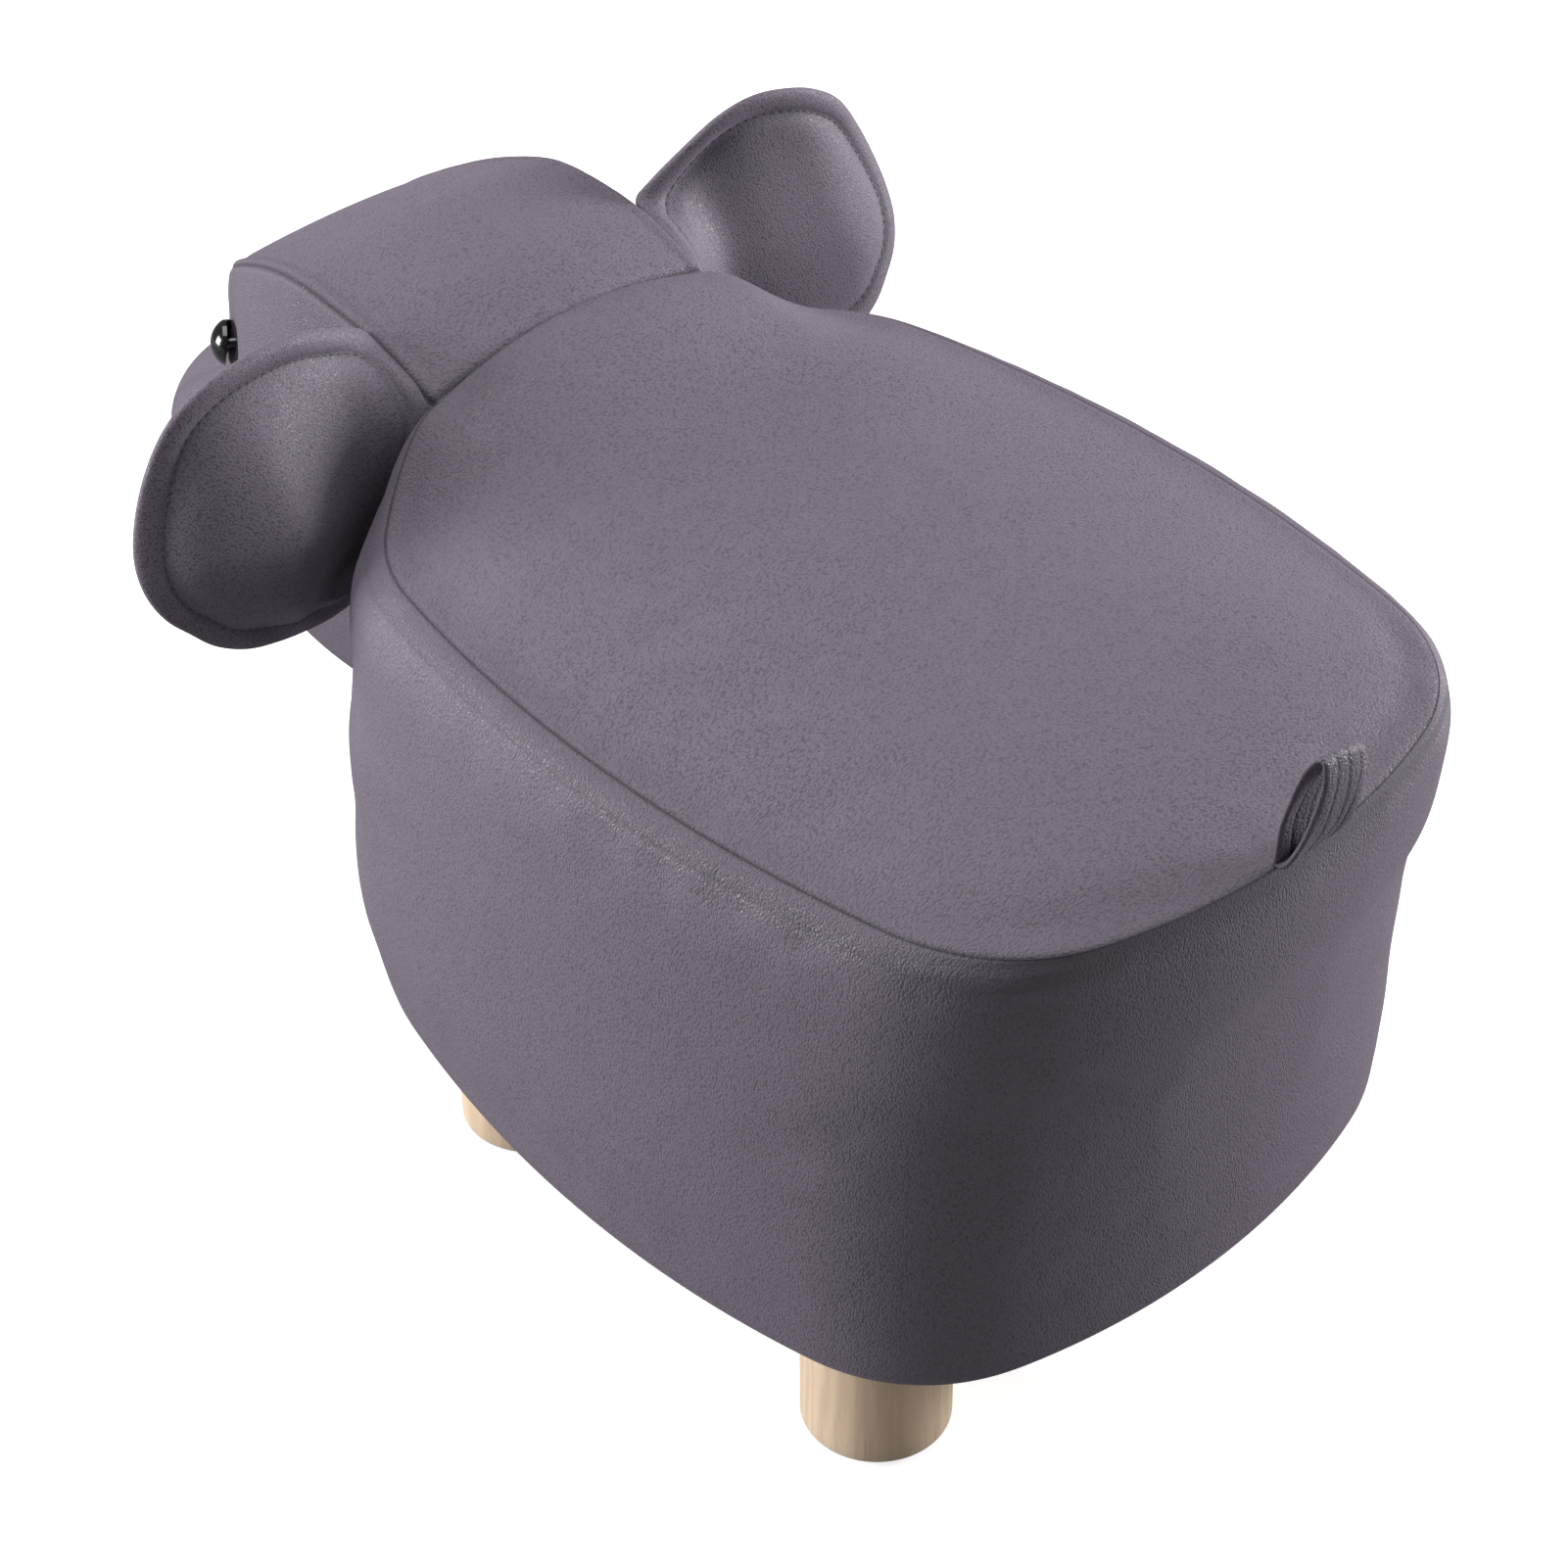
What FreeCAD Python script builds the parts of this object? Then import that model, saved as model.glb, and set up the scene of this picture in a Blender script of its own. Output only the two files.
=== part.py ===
import FreeCAD, Part
import math
import os

os.makedirs("parts", exist_ok=True)

# Upholstered body: a rounded box with bulging walls under a crowned seat cushion
seat_half_width = 149.5
seat_half_length = 198.5
seat_corner = 75.0
seat_front_bow = 3.0
seam_height = 282.0
seat_slope_share = 0.022
crown = 20.0
skirt_depth = 20.0
skirt_inset = 8.0
wall_half_width = 164.0
wall_half_length = 204.0
wall_corner = 80.0
wall_lean = 19.0
underside_height = 58.0
cover_thickness = 2.0

# Neck, where the seat rises to meet the head
neck_rise = 27.0
neck_crown = 11.0
neck_slope_start = 100.0
neck_half_width = 70.0
shoulder_half_width = 118.0

# Head
head_reach = 185.0
head_half_width = 82.0
head_below_seam = 153.0
head_height = 210.0

# Trunk
trunk_reach = 106.0
trunk_root_depth = 38.0
trunk_root_above_chin = 93.0
trunk_tip_height = 66.0
trunk_radius = 40.0
trunk_front_share = 0.66

# Ears
ear_width = 121.0
ear_height = 130.0
ear_low_above_chin = 93.0
ear_thickness = 8.0
ear_rim = 3.0
ear_cup = 22.0
ear_root_radius = 4.0
ear_root_ahead = 30.25
ear_root_low_across = 85.2
ear_root_low_above_chin = 111.0
ear_root_high_across = 78.2
ear_root_high_above_chin = 185.0

# Eyes
eye_radius = 10.0
eye_rise = 6.0
eye_skirt = 4.0
eye_across = 55.0
eye_ahead = 162.25
eye_above_chin = 130.0
eye_turn = 37.0
eye_stem_radius = 2.5
eye_stem_length = 16.0
eye_washer_radius = 9.0
eye_washer_thickness = 1.6

# Tail loop
tail_width = 26.0
tail_height = 52.0
tail_gap = 10.0
tail_strap = 2.4
tail_lean = 14.0
tail_seam_width = 2.0

# Frame inside the body
frame_half_width = 141.0
frame_half_length = 160.0
frame_corner = 50.0
board_thickness = 12.0
side_board_thickness = 3.0
post_size = 32.0
post_across = 58.0
post_along = 136.0
rail_height = 28.0
rail_thickness = 14.0
side_rail_across = 126.0
side_rail_length = 190.0
neck_board_width = 84.0
neck_board_above_bolts = 54.0
neck_board_below_bolts = 56.0
neck_bolt_radius = 4.0
neck_bolt_across = 21.0
neck_bolt_head_radius = 7.0
neck_bolt_head_height = 5.0
screw_radius = 2.0
screw_head_radius = 4.0
screw_head_height = 2.5
screw_length = 40.0

# Legs and what fastens them
leg_radius = 30.0
leg_edge = 1.5
rear_leg_across = 113.0
rear_leg_along = 105.0
front_leg_across = 99.0
front_leg_along = 118.0
glide_radius = 24.0
glide_thickness = 2.0
bolt_radius = 4.0
bolt_in_leg = 26.0
bolt_above_leg = 22.0
bolt_clearance = 0.05
leg_washer_radius = 18.0
leg_washer_clearance = 0.3
nut_barrel_radius = 5.5
nut_barrel_length = 9.0
nut_flange_radius = 11.0
nut_flange_thickness = 1.6

# Underside cloth and its staples
dust_cover_thickness = 1.0
dust_cover_clearance = 1.5
staple_width = 10.0
staple_wire = 1.0
staple_depth = 5.0
staple_inset = 9.0
staple_place_shares = (-0.3, 0.0, 0.3)

# Gap left between pieces that touch but move apart
seat_gap = 0.3
overrun = 5.0

# Levels of the body's wall from underside to seam, as shares of
# wall height, half width, half length and lean
wall_level_shares = (
    (0.00, 0.945, 0.946, 0.80),
    (0.03, 0.980, 0.982, 0.86),
    (0.10, 0.995, 1.000, 1.00),
    (0.45, 1.000, 1.000, 0.75),
    (0.75, 1.000, 1.000, 0.43),
    (0.88, 1.000, 0.994, 0.28),
    (0.95, 0.982, 0.983, 0.20),
)

# Rings of the cushion's dome, as shares of the seam's outline
dome_ring_shares = (0.96, 0.88, 0.75, 0.58, 0.38, 0.18)

# How far a corner circle's centre stands in from the side and from the end, as shares of its radius
side_bow_share = 1.16
end_bow_share = 1.13

# Head stations from the neck forwards: shares of reach, then of half width for the top seam,
# of height for the top seam and the crown above it, of half width for the side,
# of half width and height for the lower corner, and of height for the underside
head_station_shares = (
    (-0.056, 0.87, 0.857, 0.052, 0.99, 0.78, 0.10, 0.055),
    (0.022, 0.88, 0.888, 0.052, 0.99, 0.79, 0.09, 0.045),
    (0.211, 0.88, 0.946, 0.043, 1.00, 0.85, 0.055, 0.010),
    (0.433, 0.86, 0.961, 0.034, 1.00, 0.86, 0.035, -0.010),
    (0.600, 0.79, 0.924, 0.026, 0.97, 0.82, 0.035, -0.010),
    (0.767, 0.67, 0.852, 0.019, 0.87, 0.70, 0.07, 0.020),
    (0.878, 0.56, 0.781, 0.012, 0.73, 0.56, 0.12, 0.090),
    (0.956, 0.38, 0.705, 0.009, 0.50, 0.37, 0.19, 0.170),
    (0.994, 0.16, 0.640, 0.005, 0.23, 0.16, 0.26, 0.255),
)
head_side_height_share = 0.46

# The tail loop's side view from base to shoulder, as shares of half its depth and of its height
tail_outline_shares = (
    (0.35, 0.00),
    (0.93, 0.28),
    (1.00, 0.55),
    (0.88, 0.70),
    (0.65, 0.85),
)
tail_dip_share = 0.2

# Trunk stations: shares of reach ahead of the root, of the drop from root to tip, and of radius
trunk_station_shares = (
    (0.00, 0.000, 1.00),
    (0.19, 0.085, 0.98),
    (0.37, 0.180, 0.94),
    (0.53, 0.265, 0.88),
    (0.66, 0.335, 0.83),
    (0.81, 0.405, 0.77),
    (0.93, 0.480, 0.72),
    (0.98, 0.570, 0.68),
    (1.00, 0.670, 0.64),
    (1.00, 0.820, 0.58),
    (1.00, 0.930, 0.48),
    (1.00, 0.980, 0.33),
    (1.00, 1.000, 0.13),
)

# Ear stations from root to tip: shares of width, of height for the low and the high edge,
# and of the cup for how far back the low edge, the middle and the high edge stand
ear_station_shares = (
    (0.00, 0.150, 0.800, 0.00, 0.00, 0.00),
    (0.07, 0.070, 0.885, 0.22, -0.15, -0.18),
    (0.15, 0.020, 0.940, 0.40, -0.25, -0.25),
    (0.26, 0.003, 0.985, 0.56, -0.20, -0.13),
    (0.37, 0.000, 1.010, 0.72, -0.15, 0.00),
    (0.48, 0.020, 1.015, 0.90, -0.08, 0.10),
    (0.58, 0.055, 1.000, 1.08, 0.00, 0.18),
    (0.69, 0.105, 0.960, 1.12, 0.06, 0.16),
    (0.79, 0.165, 0.900, 1.15, 0.12, 0.12),
    (0.86, 0.220, 0.835, 1.05, 0.17, 0.11),
    (0.91, 0.280, 0.760, 0.90, 0.20, 0.10),
    (0.96, 0.345, 0.670, 0.68, 0.23, 0.16),
    (1.00, 0.420, 0.580, 0.45, 0.25, 0.22),
)

# Worked out from the sizes above
wall_height = seam_height - underside_height
frame_low = underside_height + cover_thickness
board_top = frame_low + board_thickness
seat_board_top = seam_height - skirt_depth
seat_board_low = seat_board_top - board_thickness
frame_forward = wall_lean / 2
leg_top = underside_height - seat_gap
leg_washer_thickness = frame_low - leg_top
rail_low = seat_board_low - rail_height
neck_bolt_height = rail_low + rail_height / 2
neck_board_low = neck_bolt_height - neck_board_below_bolts
neck_board_height = neck_board_below_bolts + neck_board_above_bolts
neck_front = seat_half_length - end_bow_share * seat_corner + seat_corner
wall_front = wall_half_length - end_bow_share * wall_corner + wall_corner + wall_lean
neck_board_back = max(neck_front, wall_front) + seat_front_bow + seat_gap
head_underside = seam_height - head_below_seam
trunk_root_height = head_underside + trunk_root_above_chin
ear_low_height = head_underside + ear_low_above_chin
ear_root_low_height = head_underside + ear_root_low_above_chin
ear_root_high_height = head_underside + ear_root_high_above_chin
eye_height = head_underside + eye_above_chin
ear_root_forward = neck_front + ear_root_ahead
eye_forward = neck_front + eye_ahead
tail_front = seat_half_length + tail_seam_width / 2
tail_low = seam_height - seat_slope_share * seat_half_length + seat_gap
front_reach = neck_front + head_reach - trunk_root_depth + trunk_reach + trunk_radius * trunk_front_share
rear_reach = tail_front + tail_gap / 2 + tail_strap + tail_height * math.sin(math.radians(tail_lean))
origin_shift = (front_reach - rear_reach) / 2

vector = FreeCAD.Vector
across_axis = vector(1, 0, 0)
along_axis = vector(0, 1, 0)
up_axis = vector(0, 0, 1)


def write(shape, node):
    """Set the piece over the middle of the object's footprint and write it."""
    placed = shape.copy()
    placed.translate(vector(0, origin_shift, 0))
    placed.exportStep("parts/" + node + ".step")


def mirrored(shape):
    """The same piece on the other side of the object."""
    return shape.mirror(vector(0, 0, 0), across_axis)


def unit(x, y):
    """A plan direction of length one."""
    size = math.hypot(x, y)
    return x / size, y / size


def eased(value):
    """Zero to one with a level start and end."""
    value = max(0, min(1, value))
    return value * value * (3 - 2 * value)


def arcs_through(points):
    """A closed wire of arcs, each through three points in a row."""
    edges = []
    for index in range(0, len(points), 2):
        after = points[(index + 2) % len(points)]
        edges.append(Part.Arc(points[index], points[index + 1], after).toShape())
    return Part.Wire(edges)


def ring(half_width, half_length, corner, bow, height, forward=0.0, lift=None):
    """Rounded plan outline with bowed sides and end and a nearly straight front."""
    centre_x = half_width - side_bow_share * corner
    centre_y = half_length - end_bow_share * corner
    in_x = side_bow_share * corner
    in_y = end_bow_share * corner
    side_radius = (in_x ** 2 + centre_y ** 2 - corner ** 2) / (2 * (in_x - corner))
    end_radius = (in_y ** 2 + centre_x ** 2 - corner ** 2) / (2 * (in_y - corner))
    side = unit(centre_x - (half_width - side_radius), centre_y)
    end = unit(centre_x, centre_y - (half_length - end_radius))
    middle = unit(side[0] + end[0], side[1] + end[1])
    front_middle = unit(side[0], side[1] + 1)
    front = centre_y + corner
    right_side = [
        (centre_x, -front),
        (centre_x + corner * front_middle[0], -centre_y - corner * front_middle[1]),
        (centre_x + corner * side[0], -centre_y - corner * side[1]),
        (half_width, 0.0),
        (centre_x + corner * side[0], centre_y + corner * side[1]),
        (centre_x + corner * middle[0], centre_y + corner * middle[1]),
        (centre_x + corner * end[0], centre_y + corner * end[1]),
    ]
    left_side = [(-x, y) for x, y in reversed(right_side)]
    plan = right_side + [(0.0, half_length)] + left_side + [(0.0, -front - bow)]
    points = []
    for x, y in plan:
        rise = lift(x, y) if lift else 0.0
        points.append(vector(x, y - forward, height + rise))
    return arcs_through(points)


def seat_tilt(x, y):
    """The seam's slight fall from neck to tail at a plan point."""
    return -y * seat_slope_share


def seat_lift(x, y):
    """The seam's fall, and how far the seat's panel climbs towards the neck."""
    along = eased((-y - neck_slope_start) / (neck_front - neck_slope_start))
    beside = eased((shoulder_half_width - abs(x)) / (shoulder_half_width - neck_half_width))
    middle = max(0, 1 - (x / neck_half_width) ** 2)
    return seat_tilt(x, y) + along * (beside * neck_rise + middle * neck_crown)


def wall_solid(inset):
    """The body's side form from underside to seam, drawn in by an inset."""
    rings = []
    low = underside_height + inset
    for height, width, length, lean in wall_level_shares:
        rings.append(ring(
            wall_half_width * width - inset,
            wall_half_length * length - inset,
            wall_corner - inset,
            seat_front_bow,
            low + (seam_height - low) * height,
            wall_lean * lean))
    rings.append(ring(
        seat_half_width - inset,
        seat_half_length - inset,
        seat_corner - inset,
        seat_front_bow,
        seam_height,
        0.0,
        seat_tilt))
    return Part.makeLoft(rings, True, True)


def cushion_solid(inset):
    """The crowned seat cushion with its turned-in skirt, drawn in by an inset."""
    half_width = seat_half_width - inset
    half_length = seat_half_length - inset
    corner = seat_corner - inset
    rings = [
        ring(
            half_width - skirt_inset,
            half_length - skirt_inset,
            corner - skirt_inset,
            seat_front_bow,
            seat_board_top),
        ring(half_width, half_length, corner, seat_front_bow, seam_height - inset, 0.0, seat_lift),
    ]
    for share in dome_ring_shares:
        rings.append(ring(
            half_width * share,
            half_length * share,
            corner * share,
            seat_front_bow * share,
            seam_height - inset + crown * (1 - share ** 2),
            0.0,
            seat_lift))
    rings.append(Part.Vertex(vector(0, 0, seam_height - inset + crown)))
    return Part.makeLoft(rings, True, True)


def head_section(shares, inset):
    """One upright outline of the head: top panel, sides and underside as four arcs."""
    reach, top_width, seam, above, side_width, low_width, low, bottom = shares
    y = -neck_front - reach * head_reach
    top_x = head_half_width * top_width - inset
    seam_z = head_underside + head_height * seam - inset
    side_z = head_underside + head_height * head_side_height_share
    low_z = head_underside + head_height * low + inset
    points = [
        vector(top_x, y, seam_z),
        vector(0, y, seam_z + head_height * above),
        vector(-top_x, y, seam_z),
        vector(-(head_half_width * side_width - inset), y, side_z),
        vector(-(head_half_width * low_width - inset), y, low_z),
        vector(0, y, head_underside + head_height * bottom + inset),
        vector(head_half_width * low_width - inset, y, low_z),
        vector(head_half_width * side_width - inset, y, side_z),
    ]
    return arcs_through(points)


def head_solid(inset):
    """The stuffed head from neck to face, drawn in by an inset."""
    sections = [head_section(shares, inset) for shares in head_station_shares]
    solid = Part.makeLoft(sections, True, True)
    if inset > 0:
        front = head_station_shares[-1][0] * head_reach + neck_front - inset
        keep = Part.makeBox(4 * head_half_width, front, 4 * head_height)
        keep.translate(vector(-2 * head_half_width, -front, 0))
        solid = solid.common(keep)
    return solid


def head_top_wedge():
    """All that lies above the head's top seams, to part the top panel from the face band."""
    sections = []
    middle_z = head_underside + head_height * head_side_height_share
    for shares in head_station_shares:
        y = -neck_front - shares[0] * head_reach
        top_x = head_half_width * shares[1]
        seam_z = head_underside + head_height * shares[2]
        points = [
            vector(0, y, middle_z),
            vector(2 * top_x, y, middle_z + 2 * (seam_z - middle_z)),
            vector(-2 * top_x, y, middle_z + 2 * (seam_z - middle_z)),
        ]
        sections.append(Part.makePolygon(points + points[:1]))
    return Part.makeLoft(sections, True, True)


def trunk_solid():
    """A tapering stuffed tube that reaches forwards and hangs down."""
    root_y = -(neck_front + head_reach - trunk_root_depth)
    drop = trunk_root_height - trunk_tip_height
    places = []
    for reach, fall, radius in trunk_station_shares:
        places.append((
            vector(0, root_y - trunk_reach * reach, trunk_root_height - drop * fall),
            trunk_radius * radius))
    sections = []
    for index, (centre, radius) in enumerate(places):
        before = places[max(0, index - 1)][0]
        after = places[min(len(places) - 1, index + 1)][0]
        ahead = (after - before).normalize()
        upward = across_axis.cross(ahead)
        points = []
        for eighth in range(8):
            angle = math.pi * eighth / 4
            spoke = across_axis * math.cos(angle) + upward * math.sin(angle)
            points.append(centre + spoke * radius)
        sections.append(arcs_through(points))
    return Part.makeLoft(sections, True, True)


def ear_axis():
    """The two ends of the sewn root that the left ear swings about."""
    low = vector(ear_root_low_across, -ear_root_forward, ear_root_low_height)
    high = vector(ear_root_high_across, -ear_root_forward, ear_root_high_height)
    return low, high


def ear_root_solid(radius, extra):
    """A round sewn root along the ear's axis."""
    low, high = ear_axis()
    length = (high - low).Length
    ahead = (high - low).normalize()
    return Part.makeCylinder(radius, length + 2 * extra, low - ahead * extra, ahead)


def ear_section(shares):
    """One upright outline of the left ear: two long arcs joined by its thin rim."""
    width, low, high, low_back, middle_back, high_back = shares
    low_end, high_end = ear_axis()
    lean = (high_end.x - low_end.x) / (high_end.z - low_end.z)
    heights = [ear_low_height + ear_height * share for share in (low, (low + high) / 2, high)]
    front = []
    back = []
    for height, backward, half in zip(
            heights,
            (low_back, middle_back, high_back),
            (ear_rim / 2, ear_thickness / 2, ear_rim / 2)):
        middle_x = low_end.x + lean * (heights[1] - low_end.z)
        edge_x = low_end.x + lean * (height - low_end.z)
        x = edge_x + (middle_x - edge_x + ear_width) * width
        y = low_end.y + ear_cup * backward
        front.append(vector(x, y - half, height))
        back.append(vector(x, y + half, height))
    return Part.Wire([
        Part.Arc(*front).toShape(),
        Part.LineSegment(front[2], back[2]).toShape(),
        Part.Arc(*reversed(back)).toShape(),
        Part.LineSegment(back[0], front[0]).toShape(),
    ])


def ear_solid():
    """The left ear: a thin cupped fan, open at its root for the sewn root."""
    fan = Part.makeLoft([ear_section(shares) for shares in ear_station_shares], True, True)
    return fan.cut(ear_root_solid(ear_root_radius + seat_gap, ear_height))


def eye_parts(head):
    """The left eye's domed button with its stem, and the washer that holds it from inside."""
    turn = math.radians(eye_turn)
    facing = vector(math.cos(turn), -math.sin(turn), 0)
    place = vector(eye_across, -eye_forward, eye_height)
    ray = Part.makeLine(place - facing * head_half_width, place + facing * head_half_width)
    inside = ray.common(head)
    skin = max((vertex.Point for vertex in inside.Vertexes), key=lambda point: point.dot(facing))
    curve = (eye_radius ** 2 + eye_rise ** 2) / (2 * eye_rise)
    half_angle = math.asin(eye_radius / curve) / 2
    shoulder = vector(curve * math.sin(half_angle), 0, eye_rise - curve + curve * math.cos(half_angle))
    rim = vector(eye_radius, 0, 0)
    tip = vector(0, 0, eye_rise)
    low_rim = vector(eye_radius, 0, -eye_skirt)
    low = vector(0, 0, -eye_skirt)
    outline = Part.Wire([
        Part.Arc(tip, shoulder, rim).toShape(),
        Part.LineSegment(rim, low_rim).toShape(),
        Part.LineSegment(low_rim, low).toShape(),
        Part.LineSegment(low, tip).toShape(),
    ])
    dome = Part.Face(outline).revolve(vector(0, 0, 0), up_axis, 360)
    dome.Placement = FreeCAD.Placement(skin, FreeCAD.Rotation(up_axis, facing))
    stem = Part.makeCylinder(eye_stem_radius, eye_stem_length, skin - facing * eye_stem_length, facing)
    washer_place = skin - facing * (eye_stem_length - eye_washer_thickness)
    washer = Part.makeCylinder(eye_washer_radius, eye_washer_thickness, washer_place, facing)
    return dome.cut(head).fuse(stem), washer.cut(stem)


def tail_profile(half_depth, low, top):
    """Teardrop outline of the tail loop, from a narrow base to a round top."""
    front = []
    for depth, height in tail_outline_shares:
        front.append(vector(0, -half_depth * depth, low + (top - low) * height))
    rear = [vector(0, -point.y, point.z) for point in reversed(front)]
    tip = [vector(0, 0, top)]
    dip = [vector(0, 0, low - half_depth * tail_dip_share)]
    return Part.Face(arcs_through(front + tip + rear + dip))


def tail_solid():
    """The folded strap that stands up from the rear seam as a loop."""
    strap = tail_strap
    half = tail_gap / 2 + strap
    outer = tail_profile(half, strap, tail_height)
    inner = tail_profile(tail_gap / 2, 3 * strap, tail_height - strap)
    base = Part.makeCylinder(strap, tail_width, vector(0, 0, strap), across_axis)
    loop = outer.cut(inner).extrude(vector(tail_width, 0, 0)).fuse(base).removeSplitter()
    loop.translate(vector(-tail_width / 2, 0, 0))
    loop.rotate(vector(0, 0, strap), across_axis, -tail_lean)
    loop.translate(vector(0, tail_front, tail_low))
    return loop


def board(half_width, half_length, corner, low, thickness):
    """A flat board cut to the frame's rounded outline."""
    outline = ring(half_width, half_length, corner, seat_front_bow, low, frame_forward)
    return Part.Face(outline).extrude(vector(0, 0, thickness))


def box_at(x, y, z, width, length, height):
    """A block centred over a plan point, standing on a height."""
    return Part.makeBox(width, length, height, vector(x - width / 2, y - length / 2, z))


def post_places():
    """The four posts in plan, by name."""
    places = {}
    for side, sign in (("left", 1), ("right", -1)):
        places["front_" + side] = (sign * post_across, -post_along - frame_forward)
        places["rear_" + side] = (sign * post_across, post_along - frame_forward)
    return places


def leg_places():
    """The four legs in plan, by name."""
    places = {}
    for side, sign in (("left", 1), ("right", -1)):
        places["front_" + side] = (sign * front_leg_across, -front_leg_along)
        places["rear_" + side] = (sign * rear_leg_across, rear_leg_along)
    return places


def frame_screws():
    """Countersunk screws down through the seat board and up through the base board."""
    screws = []
    for x, y in post_places().values():
        for head, way in ((seat_board_top, -1), (frame_low, 1)):
            direction = up_axis * way
            place = vector(x, y, head)
            cone = Part.makeCone(screw_head_radius, screw_radius, screw_head_height, place, direction)
            shank = Part.makeCylinder(screw_radius, screw_length, place, direction)
            screws.append(cone.fuse(shank).removeSplitter())
    return screws


def neck_bolts():
    """Two bolts that hold the head's board to the front of the frame."""
    bolts = []
    nut_place = -post_along - frame_forward + rail_thickness / 2
    back = nut_place + neck_bolt_head_height
    front = neck_board_front()
    for sign in (-1, 1):
        x = sign * neck_bolt_across
        z = neck_bolt_height
        shank = Part.makeCylinder(neck_bolt_radius, back - front, vector(x, front, z), along_axis)
        head = Part.makeCylinder(
            neck_bolt_head_radius,
            neck_bolt_head_height,
            vector(x, front, z),
            -along_axis)
        nut = Part.makeCylinder(
            neck_bolt_head_radius,
            neck_bolt_head_height,
            vector(x, nut_place, z),
            along_axis)
        bolts.append(shank.fuse([head, nut]).removeSplitter())
    return bolts


def neck_board_front():
    """The front face of the board inside the head."""
    return -neck_board_back - board_thickness


def leg_parts(x, y):
    """One turned leg with its hanger bolt, washer and felt glide."""
    length = leg_top - glide_thickness
    bolt_place = vector(x, y, leg_top - bolt_in_leg)
    bolt = Part.makeCylinder(bolt_radius, bolt_in_leg + bolt_above_leg, bolt_place)
    leg = Part.makeCylinder(leg_radius, length, vector(x, y, glide_thickness))
    rims = [edge for edge in leg.Edges if edge.Closed]
    leg = leg.makeFillet(leg_edge, rims).cut(bolt)
    washer = Part.makeCylinder(leg_washer_radius, leg_washer_thickness, vector(x, y, leg_top))
    hole = bolt_radius + leg_washer_clearance
    washer = washer.cut(Part.makeCylinder(hole, leg_washer_thickness, vector(x, y, leg_top)))
    glide = Part.makeCylinder(glide_radius, glide_thickness, vector(x, y, 0))
    return leg, bolt, washer, glide


def leg_nut(x, y):
    """The flanged nut set in the base board over one leg."""
    barrel_low = board_top - nut_barrel_length
    barrel = Part.makeCylinder(nut_barrel_radius, nut_barrel_length, vector(x, y, barrel_low))
    flange = Part.makeCylinder(nut_flange_radius, nut_flange_thickness, vector(x, y, board_top))
    bore_length = nut_barrel_length + nut_flange_thickness
    bore = Part.makeCylinder(bolt_radius + bolt_clearance, bore_length, vector(x, y, barrel_low))
    return barrel.fuse(flange).removeSplitter().cut(bore)


def staples():
    """Wire staples round the underside cloth, each a crown with two legs."""
    pieces = []
    line_x = frame_half_width - staple_inset
    line_y = frame_half_length - staple_inset
    top = frame_low - dust_cover_thickness
    for share in staple_place_shares:
        for sign in (-1, 1):
            pieces.append((sign * line_x, share * frame_half_length - frame_forward, True))
            pieces.append((share * frame_half_width, sign * line_y - frame_forward, False))
    solids = []
    for x, y, along in pieces:
        width, length = (staple_wire, staple_width) if along else (staple_width, staple_wire)
        crown_bar = box_at(x, y, top - staple_wire, width, length, staple_wire)
        prongs = []
        for sign in (-1, 1):
            offset = sign * (staple_width - staple_wire) / 2
            prong_x = x if along else x + offset
            prong_y = y + offset if along else y
            prong_low = top - staple_wire
            prongs.append(box_at(prong_x, prong_y, prong_low, staple_wire, staple_wire, staple_depth))
        solids.append(crown_bar.fuse(prongs).removeSplitter())
    return solids


def build_body(bolts):
    """Covers and foam of the body, with the front pierced for the neck bolts."""
    wall = wall_solid(0)
    wall_foam = wall_solid(cover_thickness)
    cushion = cushion_solid(0)
    cushion_foam = cushion_solid(cover_thickness)
    core = board(
        frame_half_width + side_board_thickness,
        frame_half_length + side_board_thickness,
        frame_corner + side_board_thickness,
        underside_height - overrun,
        seat_board_top - underside_height + overrun)
    write(cushion.cut(cushion_foam), "seat_cover")
    write(cushion_foam, "seat_foam")
    write(wall.cut(wall_foam).cut(cushion).cut(core).cut(bolts), "side_cover")
    write(wall_foam.cut(cushion).cut(core).cut(bolts), "side_foam")
    return wall.fuse(cushion)


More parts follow.
